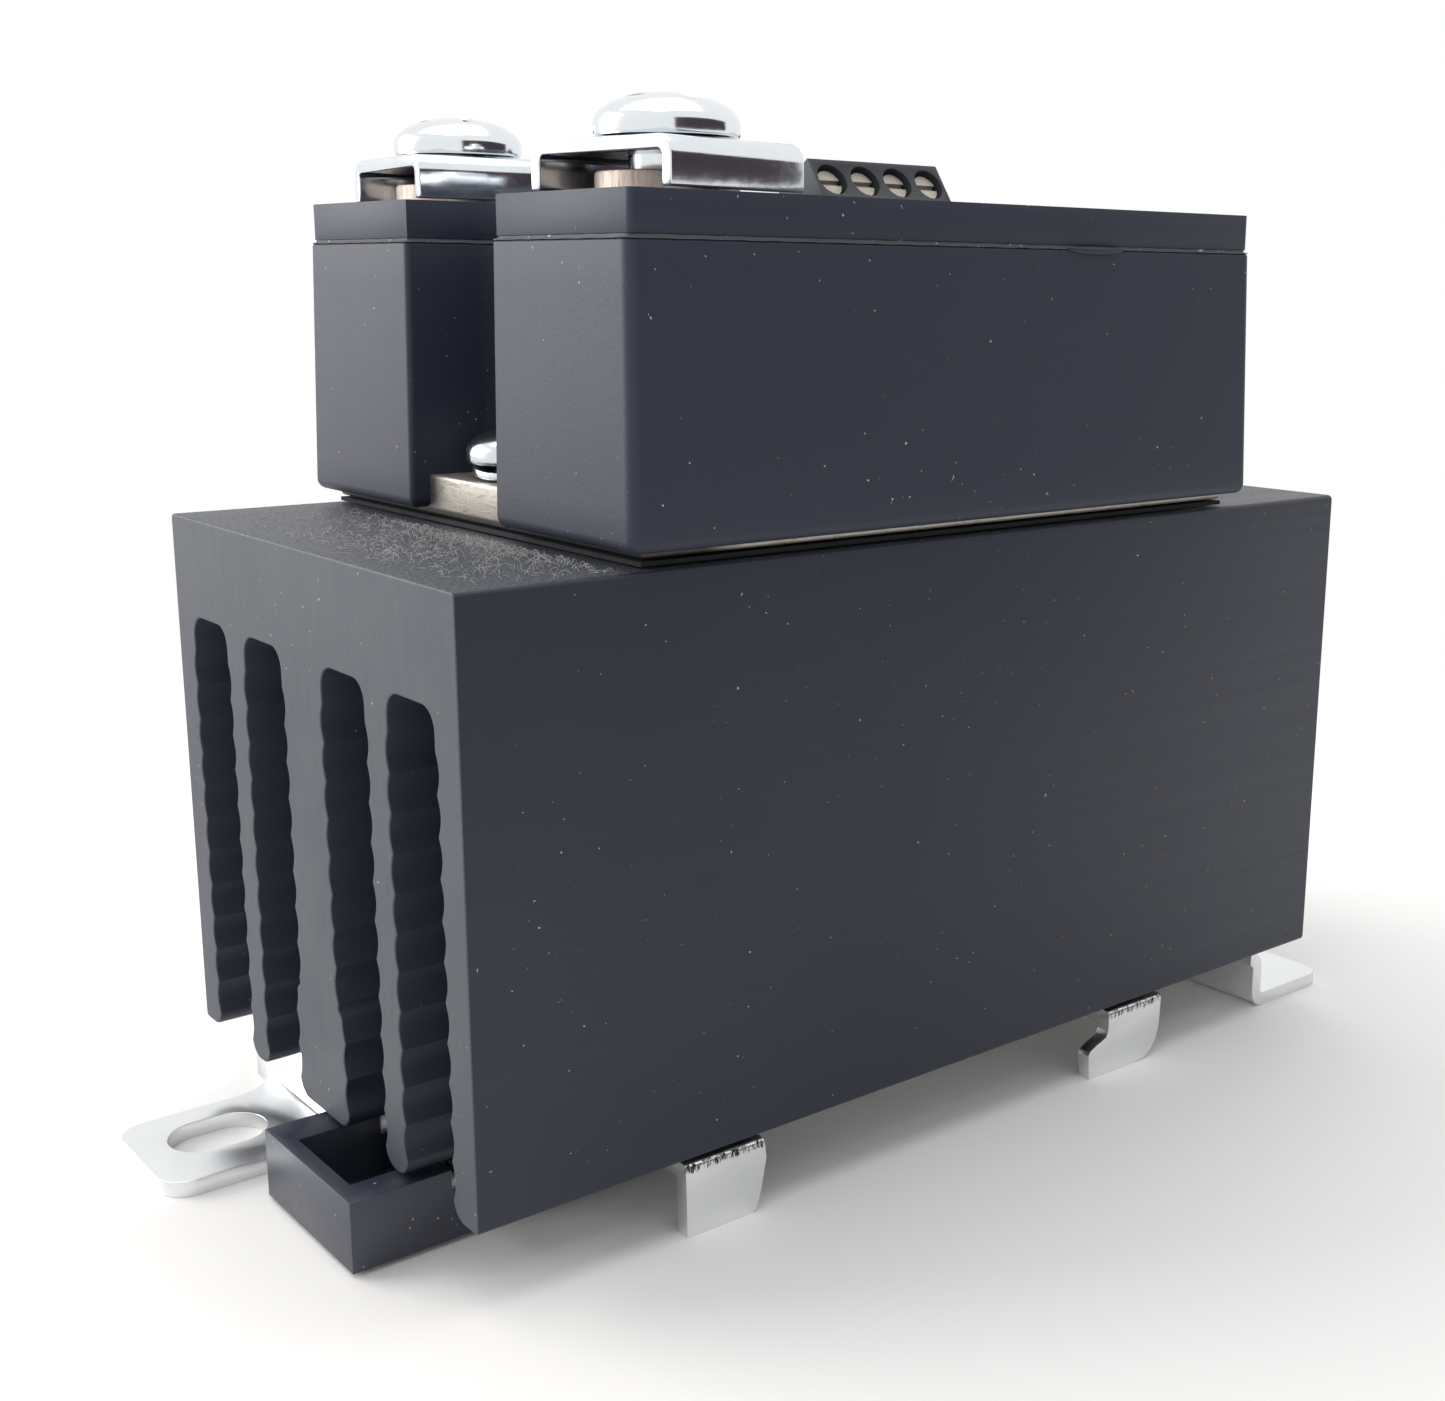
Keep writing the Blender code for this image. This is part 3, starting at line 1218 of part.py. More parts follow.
def control_header():
    """Socket on the board: floor and two side walls round the plug's stem, and its pins."""
    poles = pole_centres()
    x0 = poles[0] - HEADER_END_WALL
    x1 = poles[-1] + HEADER_END_WALL
    y0 = PLUG_STEM_Y[0] - CLEARANCE - HEADER_WALL
    y1 = PLUG_STEM_Y[1] + CLEARANCE + HEADER_WALL
    floor = board_bottom() + BOARD_THICKNESS + THIN_CLEARANCE
    wall_top = MODULE_Z + HEADER_WALL_TOP
    outline = [(y0, floor), (y1, floor), (y1, wall_top), (y1 - HEADER_WALL, wall_top),
               (y1 - HEADER_WALL, floor + HEADER_FLOOR), (y0 + HEADER_WALL, floor + HEADER_FLOOR),
               (y0 + HEADER_WALL, wall_top), (y0, wall_top)]
    body = prism(outline, "X", x0, x1)
    half = PIN_SIZE / 2
    hole = half + THIN_CLEARANCE
    for number, x in enumerate(poles, start=1):
        body = cut(body, box(x - hole, x + hole, PIN_Y - hole, PIN_Y + hole, floor - 1,
                             floor + HEADER_FLOOR + 1))
        pin = box(x - half, x + half, PIN_Y - half, PIN_Y + half, board_bottom() - 0.8,
                  MODULE_Z + PIN_TOP)
        add_piece("header_pin_%d" % number, pin, ZINC)
    add_piece("control_header", body, BLACK_PLASTIC)


# ---------------------------------------------------------------- whole object

def make_frame():
    """Parent empty: it moves the origin to the ground under the middle of the object."""
    frame = bpy.data.objects.new("relay_frame", None)
    bpy.context.scene.collection.objects.link(frame)
    middle_x = (FAR_TIP - TONGUE_REACH) / 2
    frame.location = Vector((-middle_x, -MIDDLE_Y, STAND_DEPTH + CLEARANCE)) * MM
    bpy.context.view_layer.update()


def build():
    """Make every piece of the relay."""
    clear_scene()
    make_frame()
    heat_sink()
    din_bracket()
    din_latch()
    latch_spring()
    thermal_pad()
    base_plate()
    mounting_screws()
    relay_housing()
    top_cover()
    for side in ("right", "left"):
        power_terminal(side)
        busbar(side)
    substrate_and_chips()
    gate_leads()
    potting_compound()
    circuit_board()
    board_parts()
    control_header()
    control_plug()
    control_screws_and_cages()
    for number, x in enumerate(pole_centres(), start=1):
        plug_contact(number, x)


build()
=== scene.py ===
"""Looks of a solid state relay on a finned heat sink: surfaces, finishes, light and camera.

Run as a script. Lengths are metres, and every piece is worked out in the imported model's own
frame, so its object stays at the origin.
"""
import math

import bpy
import numpy as np
from mathutils import Matrix, Vector


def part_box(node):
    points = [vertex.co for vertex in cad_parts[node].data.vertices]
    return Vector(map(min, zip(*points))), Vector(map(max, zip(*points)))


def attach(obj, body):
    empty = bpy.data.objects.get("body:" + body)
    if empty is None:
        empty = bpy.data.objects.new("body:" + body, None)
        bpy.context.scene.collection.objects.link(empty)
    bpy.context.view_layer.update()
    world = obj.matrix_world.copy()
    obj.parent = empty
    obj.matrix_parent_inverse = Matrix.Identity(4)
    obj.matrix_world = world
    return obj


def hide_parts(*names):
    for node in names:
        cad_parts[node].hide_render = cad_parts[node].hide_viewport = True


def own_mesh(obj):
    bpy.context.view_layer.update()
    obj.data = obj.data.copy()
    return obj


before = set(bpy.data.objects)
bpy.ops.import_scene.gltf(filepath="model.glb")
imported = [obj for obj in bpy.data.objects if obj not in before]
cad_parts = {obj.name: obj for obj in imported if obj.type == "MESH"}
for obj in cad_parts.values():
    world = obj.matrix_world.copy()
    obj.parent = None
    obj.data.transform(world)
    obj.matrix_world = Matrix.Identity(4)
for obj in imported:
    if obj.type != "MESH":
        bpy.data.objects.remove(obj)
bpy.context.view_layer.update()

bl_info = {
    "name": "Solid state relay looks",
    "version": (1, 0, 0),
    "blender": (4, 5, 0),
    "location": "3D View > Sidebar > Relay",
    "description": "Builds the surfaces, finishes, light and camera of a relay on its heat sink",
    "category": "Object",
}

MM = 0.001


def box(node):
    """A node's lowest and highest corners, as arrays."""
    return [np.array(corner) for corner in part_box(node)]


SINK = box("heat_sink")
CASE = box("relay_housing")
LID = box("top_cover")
MIDDLE_Y = float((SINK[0][1] + SINK[1][1]) / 2)
SINK_TOP = float(SINK[1][2])

# The extrusion: its slots' edges across it, and the extra width of the web's foot
SLOTS = [(3.2 * MM, 9.4 * MM, 0, 0), (12.7 * MM, 19.0 * MM, 0, 1)]
SCALLOPS = 11
SCALLOP_START = 1.2 * MM
WEB_FOOT = 0.8 * MM
WEB_FOOT_TOP = 8.8 * MM
TOP_PLATE = 7.4 * MM

# The case: its plan, and the width, depth and corner radius of its two notches
CASE_LENGTH = 58.4 * MM
CASE_HALF_WIDTH = 22.5 * MM
CASE_CORNER = 1.0 * MM
CASE_WALL = 1.6 * MM
NEAR_NOTCH = (12.2 * MM, 10.2 * MM, 5.0 * MM)
FAR_NOTCH = (8.8 * MM, 9.8 * MM, 4.4 * MM)
NOTCH_LIP = 0.45 * MM

# The photograph's frame in pixels, and its camera as fitted to it
PHOTO_WIDTH = 1445
PHOTO_HEIGHT = 1401
FOCAL_LENGTH = 1812.1
LENS_AXIS = (854.5, 683.0)


# ---------------------------------------------------------------- nodes and materials

def tone(code):
    """Turn an sRGB hex colour to linear, with the standard curve for each channel."""
    values = [int(code[i:i + 2], 16) / 255 for i in (1, 3, 5)]
    return tuple(v / 12.92 if v <= 0.04045 else ((v + 0.055) / 1.055) ** 2.4 for v in values)


def plug_in(holder, socket, value):
    """Link an input to an output or to a node's first output, or else set it."""
    if isinstance(value, bpy.types.Node):
        value = value.outputs[0]
    if isinstance(value, bpy.types.NodeSocket):
        holder.node_tree.links.new(value, socket)
    else:
        socket.default_value = value


def add(holder, kind, inputs=None, **settings):
    """Add a node with its settings to a material or world, and set or link its inputs."""
    node = holder.node_tree.nodes.new(kind)
    for name, value in settings.items():
        setattr(node, name, value)
    for key, value in (inputs or {}).items():
        plug_in(holder, node.inputs[key], value)
    return node


def start_material(name):
    """A new material and its object coordinates."""
    material = bpy.data.materials.new(name)
    material.use_nodes = True
    return material, add(material, "ShaderNodeTexCoord").outputs["Object"]


def shader_inputs(material):
    """The inputs of a material's Principled shader."""
    return material.node_tree.nodes["Principled BSDF"].inputs


def blend_colours(material, factor, first, second):
    """Mix two colours, each a socket or a linear triple, by a factor."""
    pick = [value if isinstance(value, bpy.types.NodeSocket) else (*value, 1.0)
            for value in (first, second)]
    mix = add(material, "ShaderNodeMix", {0: factor, 6: pick[0], 7: pick[1]}, data_type="RGBA")
    return mix.outputs[2]


def speckle(material, coords, size, amount):
    """A 0 to 1 mask of small scattered spots: smooth noise kept only near its peaks."""
    noise = add(material, "ShaderNodeTexNoise",
                {"Vector": coords, "Scale": 1.0 / size, "Detail": 1.0, "Roughness": 0.4})
    return add(material, "ShaderNodeMapRange", {"Value": noise, "From Min": 1.0 - amount,
                                                "From Max": 1.02 - amount * 0.9})


def finish(material, base, marks, rough, relief=None, metal=0.0, below=None):
    """Give the shader a colour, and roughness and relief that follow the same marks.

    Roughness and relief are pairs: lowest and highest, and strength and distance. Relief may
    lie on top of another bump below it. The node of the roughness is handed back.
    """
    inputs = shader_inputs(material)
    plug_in(material, inputs["Base Color"], base)
    spread = add(material, "ShaderNodeMapRange",
                 {"Value": marks, "To Min": rough[0], "To Max": rough[1]})
    plug_in(material, inputs["Roughness"], spread)
    if relief:
        bump = add(material, "ShaderNodeBump",
                   {"Height": marks, "Strength": relief[0], "Distance": relief[1]})
        if below:
            plug_in(material, bump.inputs["Normal"], below)
        plug_in(material, inputs["Normal"], bump)
    inputs["Metallic"].default_value = metal
    return spread


def dress(item, *materials):
    """Give an object its materials, in slot order."""
    item.data.materials.clear()
    for material in materials:
        item.data.materials.append(material)


def dress_nodes(names, material):
    """Give CAD nodes a finish in their own material slots."""
    for name in names:
        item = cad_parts[name]
        if not item.material_slots:
            item.data.materials.append(material)
        for slot in item.material_slots:
            slot.material = material


def numbered(name, count):
    """Node names that end in 1, 2 and so on."""
    return ["%s_%d" % (name, i + 1) for i in range(count)]


# ---------------------------------------------------------------- surfaces worked out with numpy

def arc(centre, radius, start, end, count):
    """Points on a circle: centre plus radius times cosine and sine of evenly spaced angles."""
    angle = np.radians(np.linspace(start, end, count))
    return np.stack([centre[0] + radius * np.cos(angle), centre[1] + radius * np.sin(angle)], 1)


def drawn_in(outline, inset):
    """Move each point of a closed outline inward along the mean of its two edge normals."""
    first = outline - np.roll(outline, 1, axis=0)
    second = np.roll(outline, -1, axis=0) - outline
    first /= np.linalg.norm(first, axis=1)[:, None] + 1e-12
    second /= np.linalg.norm(second, axis=1)[:, None] + 1e-12
    normal = np.stack([-(first[:, 1] + second[:, 1]), first[:, 0] + second[:, 0]], 1)
    length = np.linalg.norm(normal, axis=1)[:, None]
    normal /= length + 1e-12
    stretch = np.clip(2.0 / (length + 1e-9), 1.0, 1.6)
    return outline + normal * inset * stretch


def across(outline, axis, level):
    """Lay a flat outline across X or Z, at a level along it."""
    wall = np.full((len(outline), 1), level)
    return np.hstack([wall, outline] if axis == "X" else [outline, wall])


def new_mesh(name, points, faces):
    """A mesh from an array of points and lists of their numbers."""
    mesh = bpy.data.meshes.new(name)
    mesh.from_pydata(np.reshape(points, (-1, 3)).tolist(), [], faces)
    mesh.update()
    return mesh


def mesh_from_rings(name, rings, looped=False):
    """A skin over equal rings of points: quads between neighbours, and n-gons on open ends."""
    rings = np.asarray(rings, dtype=float)
    count, size = rings.shape[:2]
    row = np.arange(size)
    quads = []
    for i in range(count if looped else count - 1):
        a = i * size
        b = ((i + 1) % count) * size
        quads.append(np.stack([a + row, a + np.roll(row, -1), b + np.roll(row, -1), b + row], 1))
    faces = np.concatenate(quads).tolist()
    if not looped:
        faces.append(row[::-1].tolist())
        faces.append((row + (count - 1) * size).tolist())
    mesh = new_mesh(name, rings, faces)
    mesh.shade_smooth()
    if not looped:
        flat = np.ones(len(faces), bool)
        flat[-2:] = False
        mesh.polygons.foreach_set("use_smooth", flat)
    return mesh


def put(name, data):
    """A new object in the scene."""
    item = bpy.data.objects.new(name, data)
    bpy.context.scene.collection.objects.link(item)
    return item


def place(name, mesh, body, node=None, smooth=35):
    """Make a mesh an object that rides on a body, and hide the CAD node it stands for.

    Edges sharper than an angle are marked, which sets every face smooth, so the flat ones are
    set back.
    """
    soft = np.zeros(len(mesh.polygons), bool)
    mesh.polygons.foreach_get("use_smooth", soft)
    mesh.set_sharp_from_angle(angle=math.radians(smooth))
    mesh.polygons.foreach_set("use_smooth", soft)
    item = put(name, mesh)
    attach(item, body)
    if node:
        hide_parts(node)
    return item


def rounded_rings(outline, axis, low, high, radius, steps):
    """Rings of a prism with round edges.

    Each end follows a quarter circle: the inset is radius times one minus the sine, and the
    level is radius times one minus the cosine, of an angle from zero to ninety degrees.
    """
    angle = np.radians(np.linspace(0, 90, steps + 1))
    inset = radius * (1 - np.sin(angle))
    rise = radius * (1 - np.cos(angle))
    rings = [across(drawn_in(outline, i), axis, low + r) for i, r in zip(inset, rise)]
    rings += [across(drawn_in(outline, i), axis, high - r)
              for i, r in zip(inset[::-1], rise[::-1])]
    return rings


def tube_mesh(name, paths, radius, sides):
    """Thin tubes round paths: each ring is a circle across the path's own direction."""
    points = []
    faces = []
    base = 0
    around = 2 * np.pi * np.arange(sides) / sides
    cosine = np.cos(around)[None, :, None]
    sine = np.sin(around)[None, :, None]
    for path in paths:
        along = np.gradient(path, axis=0)
        along /= np.linalg.norm(along, axis=1)[:, None] + 1e-12
        side = np.cross(along, np.array([0.137, 0.291, 0.947]))
        side /= np.linalg.norm(side, axis=1)[:, None] + 1e-12
        up = np.cross(along, side)
        ring = path[:, None, :] + radius * (cosine * side[:, None, :] + sine * up[:, None, :])
        index = base + np.arange(len(path) * sides).reshape(len(path), sides)
        base += len(path) * sides
        a = index[:-1]
        b = index[1:]
        quads = np.stack([a, b, np.roll(b, -1, 1), np.roll(a, -1, 1)], 2).reshape(-1, 4)
        faces += quads.tolist() + [index[0].tolist(), index[-1][::-1].tolist()]
        points.append(ring.reshape(-1, 3))
    return new_mesh(name, np.concatenate(points), faces)


def bevelled(item, width, segments, angle):
    """Round an object's edges with a bevel, and turn it and its modifiers into one mesh."""
    bevel = item.modifiers.new("edges", "BEVEL")
    bevel.width = width
    bevel.segments = segments
    bevel.limit_method = "ANGLE"
    bevel.angle_limit = math.radians(angle)
    graph = bpy.context.evaluated_depsgraph_get()
    done = bpy.data.meshes.new_from_object(item.evaluated_get(graph))
    bpy.data.objects.remove(item)
    done.shade_smooth()
    return done


def softened(node, name, width, body, segments=2):
    """A copy of a CAD node with its doubles merged and its edges rounded by a bevel."""
    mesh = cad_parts[node].data.copy()
    mesh.name = name
    item = put(name, mesh)
    item.modifiers.new("weld", "WELD").merge_threshold = 0.004 * MM
    flat = item.modifiers.new("flat", "DECIMATE")
    flat.decimate_type = "DISSOLVE"
    flat.angle_limit = math.radians(0.6)
    done = bevelled(item, width, segments, 30)
    bpy.data.meshes.remove(mesh)
    return place(name, done, body, node)


def carved(mesh, tools, width):
    """Take closed meshes out of a mesh, then round what edges are left."""
    item = put(mesh.name, mesh)
    helpers = [put("cutter", tool) for tool in tools]
    for helper in helpers:
        step = item.modifiers.new("carve", "BOOLEAN")
        step.operation = "DIFFERENCE"
        step.solver = "EXACT"
        step.object = helper
    done = bevelled(item, width, 3, 32)
    for helper in helpers:
        bpy.data.objects.remove(helper)
    return done


def lathe(name, profile, looped=False, steps=96):
    """A body of revolution about Z: each (radius, height) point becomes a circle."""
    around = 2 * np.pi * np.arange(steps) / steps
    profile = np.array(profile)
    rings = np.stack([profile[:, :1] * np.cos(around)[None, :],
                      profile[:, :1] * np.sin(around)[None, :],
                      np.repeat(profile[:, 1:], steps, 1)], 2)
    return mesh_from_rings(name, rings, looped)


def slab(x0, x1, y0, y1, z0, z1):
    """A plain cutter: the four corners of a rectangle carried up from one level to another."""
    outline = np.array([(x0, y0), (x1, y0), (x1, y1), (x0, y1)])
    return mesh_from_rings("slab", [across(outline, "Z", z0), across(outline, "Z", z1)])


def set_down(mesh, x, y, z, turn=0.0):
    """Turn a mesh about Z by an angle in degrees and shift it to its place."""
    mesh.transform(Matrix.Translation((x, y, z)) @ Matrix.Rotation(math.radians(turn), 4, "Z"))
    return mesh


def backdrop(name, steps, centre, first, second):
    """A flat grid that isn't part of the object: centre plus even shares of two directions."""
    line = np.linspace(-1, 1, steps)
    u, v = np.meshgrid(line, line, indexing="ij")
    index = np.arange(steps * steps).reshape(steps, steps)
    quads = np.stack([index[:-1, :-1], index[1:, :-1], index[1:, 1:], index[:-1, 1:]], 2)
    points = np.array(centre) + u[..., None] * np.array(first) + v[..., None] * np.array(second)
    item = put(name, new_mesh(name, points, quads.reshape(-1, 4).tolist()))
    return item


# ---------------------------------------------------------------- finishes

def black_anodised_aluminium(colours):
    """Black anodised aluminium, extruded: satin, with die lines along its length and dust."""
    material, coords = start_material("black anodised aluminium, extruded")
    drawn = add(material, "ShaderNodeMapping", {"Vector": coords, "Scale": (12, 2600, 2600)})
    lines = add(material, "ShaderNodeTexNoise",
                {"Vector": drawn, "Scale": 1.0, "Detail": 3.0, "Roughness": 0.6})
    cloud = add(material, "ShaderNodeTexNoise",
                {"Vector": coords, "Scale": 45.0, "Detail": 4.0, "Roughness": 0.55})
    dark = blend_colours(material, cloud, colours.anodised, colours.anodised_light)
    dust = speckle(material, coords, 0.3 * MM, 0.21)
    height = add(material, "ShaderNodeSeparateXYZ", {0: coords}).outputs["Z"]
    up = add(material, "ShaderNodeMapRange", {"Value": height, "From Min": SINK_TOP - 0.06 * MM,
                                              "From Max": SINK_TOP - 0.01 * MM})
    fluff = add(material, "ShaderNodeTexNoise",
                {"Vector": coords, "Scale": 3800.0, "Detail": 3.0, "Roughness": 0.8})
    settled = add(material, "ShaderNodeMapRange",
                  {"Value": fluff, "From Min": 0.44, "From Max": 0.85, "To Max": 0.6})
    haze = add(material, "ShaderNodeMath", {0: up, 1: settled}, operation="MULTIPLY")
    dusty = blend_colours(material, haze, dark, colours.dust)
    finish(material, blend_colours(material, dust, dusty, colours.dust), lines, (0.40, 0.58),
           (0.25, 0.03 * MM))
    shader_inputs(material)["Specular IOR Level"].default_value = 0.42
    return material


def sawn_end_with_painted_light(colours):
    """The same metal where it was sawn to length: finely scratched across, and paler, partly for
    the sawing and partly as painted light on the ends.
    """
    material, coords = start_material("black anodised aluminium, sawn end")
    cut = add(material, "ShaderNodeMapping",
              {"Vector": coords, "Scale": (900, 2300, 240), "Rotation": (0.35, 0, 0)})
    marks = add(material, "ShaderNodeTexNoise",
                {"Vector": cut, "Scale": 1.0, "Detail": 3.0, "Roughness": 0.6})
    cloud = add(material, "ShaderNodeTexNoise", {"Vector": coords, "Scale": 90.0, "Detail": 4.0})
    # The paler tones are partly the sawn finish and partly painted light.
    base = blend_colours(material, cloud, colours.sawn, colours.anodised_light)
    chips = speckle(material, coords, 0.3 * MM, 0.215)
    finish(material, blend_colours(material, chips, base, colours.dust), marks, (0.46, 0.64),
           (0.16, 0.03 * MM))
    return material


def moulded_plastic(name, colour, light, rough, grain, dust_amount, dust, gloss=0.4):
    """Moulded plastic: fine grain, faint mottling and pale dust specks."""
    material, coords = start_material(name)
    cloud = add(material, "ShaderNodeTexNoise",
                {"Vector": coords, "Scale": 110.0, "Detail": 4.0, "Roughness": 0.6})
    fine = add(material, "ShaderNodeTexNoise",
               {"Vector": coords, "Scale": 1.0 / grain, "Detail": 2.0, "Roughness": 0.6})
    base = blend_colours(material, cloud, colour, light)
    specks = speckle(material, coords, 0.4 * MM, dust_amount)
    finish(material, blend_colours(material, specks, base, dust), fine,
           (rough - 0.05, rough + 0.07), (0.3, 0.04 * MM))
    shader_inputs(material)["Specular IOR Level"].default_value = gloss
    return material


def blanked_zinc(colours):
    """Bright zinc on blanked and bent sheet: soft mirror, with a streaky dark band on the hooks
    just below the heat sink's underside.

    The streaks are drawn about 0.2 mm wide, coarser than they are, so that they show.
    """
    material, coords = start_material("bright zinc on blanked steel")
    slow = add(material, "ShaderNodeTexNoise", {"Vector": coords, "Scale": 180.0, "Detail": 2.0})
    fine = add(material, "ShaderNodeTexNoise",
               {"Vector": coords, "Scale": 2600.0, "Detail": 4.0, "Roughness": 0.7})
    streak = add(material, "ShaderNodeMapping", {"Vector": coords, "Scale": (5200, 5200, 900)})
    band_streaks = add(material, "ShaderNodeTexNoise",
                {"Vector": streak, "Scale": 1.0, "Detail": 3.0, "Roughness": 0.7})
    where = add(material, "ShaderNodeSeparateXYZ", {0: coords}).outputs
    # A streaky dark, rougher band on the hooks' outer faces, just below the heat sink's underside
    # on its near side.
    under = SINK[0][2]
    up = add(material, "ShaderNodeMapRange",
             {"Value": where["Z"], "From Min": float(under - 1.7 * MM),
              "From Max": float(under - 0.8 * MM), "To Min": -0.55, "To Max": 0.05})
    side = add(material, "ShaderNodeMapRange",
               {"Value": where["Y"], "From Min": float(SINK[0][1] + 0.5 * MM),
                "From Max": float(SINK[0][1] + 0.1 * MM)})
    sum_up = add(material, "ShaderNodeMath", {0: up, 1: band_streaks}, operation="ADD")
    cut = add(material, "ShaderNodeMapRange",
              {"Value": sum_up, "From Min": 0.5, "From Max": 0.62})
    worn = add(material, "ShaderNodeMath", {0: cut, 1: side}, operation="MULTIPLY")
    bright = blend_colours(material, slow, colours.zinc, tone("#e3e5e6"))
    below = add(material, "ShaderNodeBump",
                {"Height": slow, "Strength": 0.07, "Distance": 0.2 * MM})
    spread = finish(material, blend_colours(material, worn, bright, tone("#5d534a")), fine,
                    (0.27, 0.3), (0.01, 0.01 * MM), 1.0, below)
    rough = add(material, "ShaderNodeMath", {0: worn, 1: spread}, operation="MAXIMUM")
    plug_in(material, shader_inputs(material)["Roughness"], rough)
    return material


def turned_tin(colours):
    """Tin-washed copper alloy, turned: pinkish grey, with upright scratches from handling."""
    material, coords = start_material("tin-washed copper alloy, turned")
    tall = add(material, "ShaderNodeMapping", {"Vector": coords, "Scale": (4200, 4200, 420)})
    marks = add(material, "ShaderNodeTexNoise",
                {"Vector": tall, "Scale": 1.0, "Detail": 4.0, "Roughness": 0.7})
    worn = add(material, "ShaderNodeMapRange", {"Value": marks, "From Min": 0.5, "From Max": 0.72})
    finish(material, blend_colours(material, worn, colours.post, tone("#85776d")), marks,
           (0.42, 0.62), (0.4, 0.03 * MM), 0.75)
    return material


def shaded_recess_zinc():
    """Zinc down in a driver recess: darker as painted shade, and dull with scratches from the bit.
    """
    material, coords = start_material("zinc worn by a driver bit")
    marks = add(material, "ShaderNodeTexNoise",
                {"Vector": coords, "Scale": 3500.0, "Detail": 3.0, "Roughness": 0.7})
    finish(material, blend_colours(material, marks, tone("#9aa3ad"), tone("#5c6470")), marks,
           (0.3, 0.6), metal=1.0)
    return material


def bright_zinc(name, colour, shade, rough, wave):
    """Bright zinc on pressed steel: bluish mirror with slow waves and faint handling marks."""
    material, coords = start_material(name)
    slow = add(material, "ShaderNodeTexNoise",
               {"Vector": coords, "Scale": 260.0, "Detail": 2.0, "Roughness": 0.5})
    fine = add(material, "ShaderNodeTexNoise",
               {"Vector": coords, "Scale": 2200.0, "Detail": 3.0, "Roughness": 0.6})
    below = add(material, "ShaderNodeBump",
                {"Height": slow, "Strength": wave, "Distance": 0.2 * MM})
    finish(material, blend_colours(material, slow, colour, shade), fine,
           (rough - 0.05, rough + 0.09), (0.12, 0.02 * MM), 1.0, below)
    return material


def sawn_plate(colours):
    """Nickel-washed plate, sawn and handled: warm grey and short dark scratches, and low down near
    the near end a near-black band of dirt and painted shade.
    """
    material, coords = start_material("nickel-washed plate, sawn")
    turned = add(material, "ShaderNodeMapping", {"Vector": coords, "Scale": (700, 700, 3200)})
    marks = add(material, "ShaderNodeTexNoise", {"Vector": turned, "Scale": 1.0, "Detail": 4.0,
                                                 "Roughness": 0.7, "Distortion": 1.2})
    scratch = add(material, "ShaderNodeMapRange",
                  {"Value": marks, "From Min": 0.52, "From Max": 0.66})
    base = blend_colours(material, scratch, colours.plate, tone("#958b80"))
    where = add(material, "ShaderNodeSeparateXYZ", {0: coords}).outputs
    # Near-black along the lower edge near the near end: dirt, and painted shade in the gap over the
    # pad.
    low = add(material, "ShaderNodeMapRange",
              {"Value": where["Z"], "From Min": float(CASE[0][2] + 0.15 * MM),
               "From Max": float(CASE[0][2] - 0.05 * MM)})
    end = add(material, "ShaderNodeMapRange",
              {"Value": where["X"], "From Min": float(CASE[0][0] + 9.5 * MM),
               "From Max": float(CASE[0][0] + 6.5 * MM), "To Max": 0.86})
    shade_and_grime = add(material, "ShaderNodeMath", {0: low, 1: end}, operation="MULTIPLY")
    finish(material, blend_colours(material, shade_and_grime, base, tone("#17181c")), marks, (0.34, 0.55),
           (0.5, 0.04 * MM), 0.8)
    return material


def plain_stock(name, colour, light, rough, metal=0.0, size=0.8 * MM):
    """A plain stock finish for small and inner pieces: two near tones in soft noise."""
    material, coords = start_material(name)
    noise = add(material, "ShaderNodeTexNoise",
                {"Vector": coords, "Scale": 1.0 / size, "Detail": 3.0, "Roughness": 0.6})
    finish(material, blend_colours(material, noise, colour, light), noise,
           (rough - 0.06, rough + 0.08), (0.2, 0.03 * MM), metal)
    return material


# ---------------------------------------------------------------- sizes and colours to change

def size_setting(name, description, default, low, high):
    """A length in the panel."""
    return bpy.props.FloatProperty(name=name, description=description, default=default,
                                   min=low, max=high, unit="LENGTH")


def colour_setting(name, description, code):
    """A colour in the panel, from its sRGB code."""
    return bpy.props.FloatVectorProperty(name=name, description=description, default=tone(code),
                                         subtype="COLOR", min=0, max=1)


class RelaySizes(bpy.types.PropertyGroup):
    """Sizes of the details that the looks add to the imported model."""

    scallop_pitch: size_setting(
        "Scallop pitch", "Height of one hollow in the fin walls", 0.00265, 0.001, 0.006)
    scallop_depth: size_setting(
        "Scallop depth", "How deep a hollow goes into a fin wall", 0.00036, 0.0, 0.0006)
    sink_edge: size_setting(
        "Heat sink edge", "Radius of the heat sink's end edges", 0.00015, 0.00005, 0.0005)
    case_edge: size_setting(
        "Case edge", "Radius of the case's top edge", 0.00018, 0.0001, 0.0008)
    case_foot: size_setting(
        "Case foot", "Radius of the case's bottom edge", 0.0008, 0.0002, 0.0015)
    metal_edge: size_setting(
        "Sheet edge", "Rounding of pressed metal edges", 0.00014, 0.00005, 0.0003)
    fibre_radius: size_setting(
        "Lint radius", "Radius of a lint fibre on the heat sink", 0.000014, 0.00001, 0.0001)


class RelayColours(bpy.types.PropertyGroup):
    """Colours of the main finishes."""

    anodised: colour_setting("Anodised black", "Body colour of the heat sink", "#1f2430")
    anodised_light: colour_setting("Anodised, pale", "Paler clouds in that black", "#282d3a")
    # Paler than the body partly for the sawn finish and partly as painted light on the ends.
    sawn: colour_setting("Sawn end", "Heat sink where it was sawn", "#44474d")
    dust: colour_setting("Dust", "Dust specks and lint", "#a9a8a4")
    case: colour_setting("Case", "Body colour of the case and lid", "#262a38")
    zinc: colour_setting("Zinc", "Plated steel", "#eceeef")
    plate: colour_setting("Base plate", "Bare base plate", "#aea89f")
    post: colour_setting("Terminal post", "Plated terminal posts", "#ab9e95")


# ---------------------------------------------------------------- heat sink

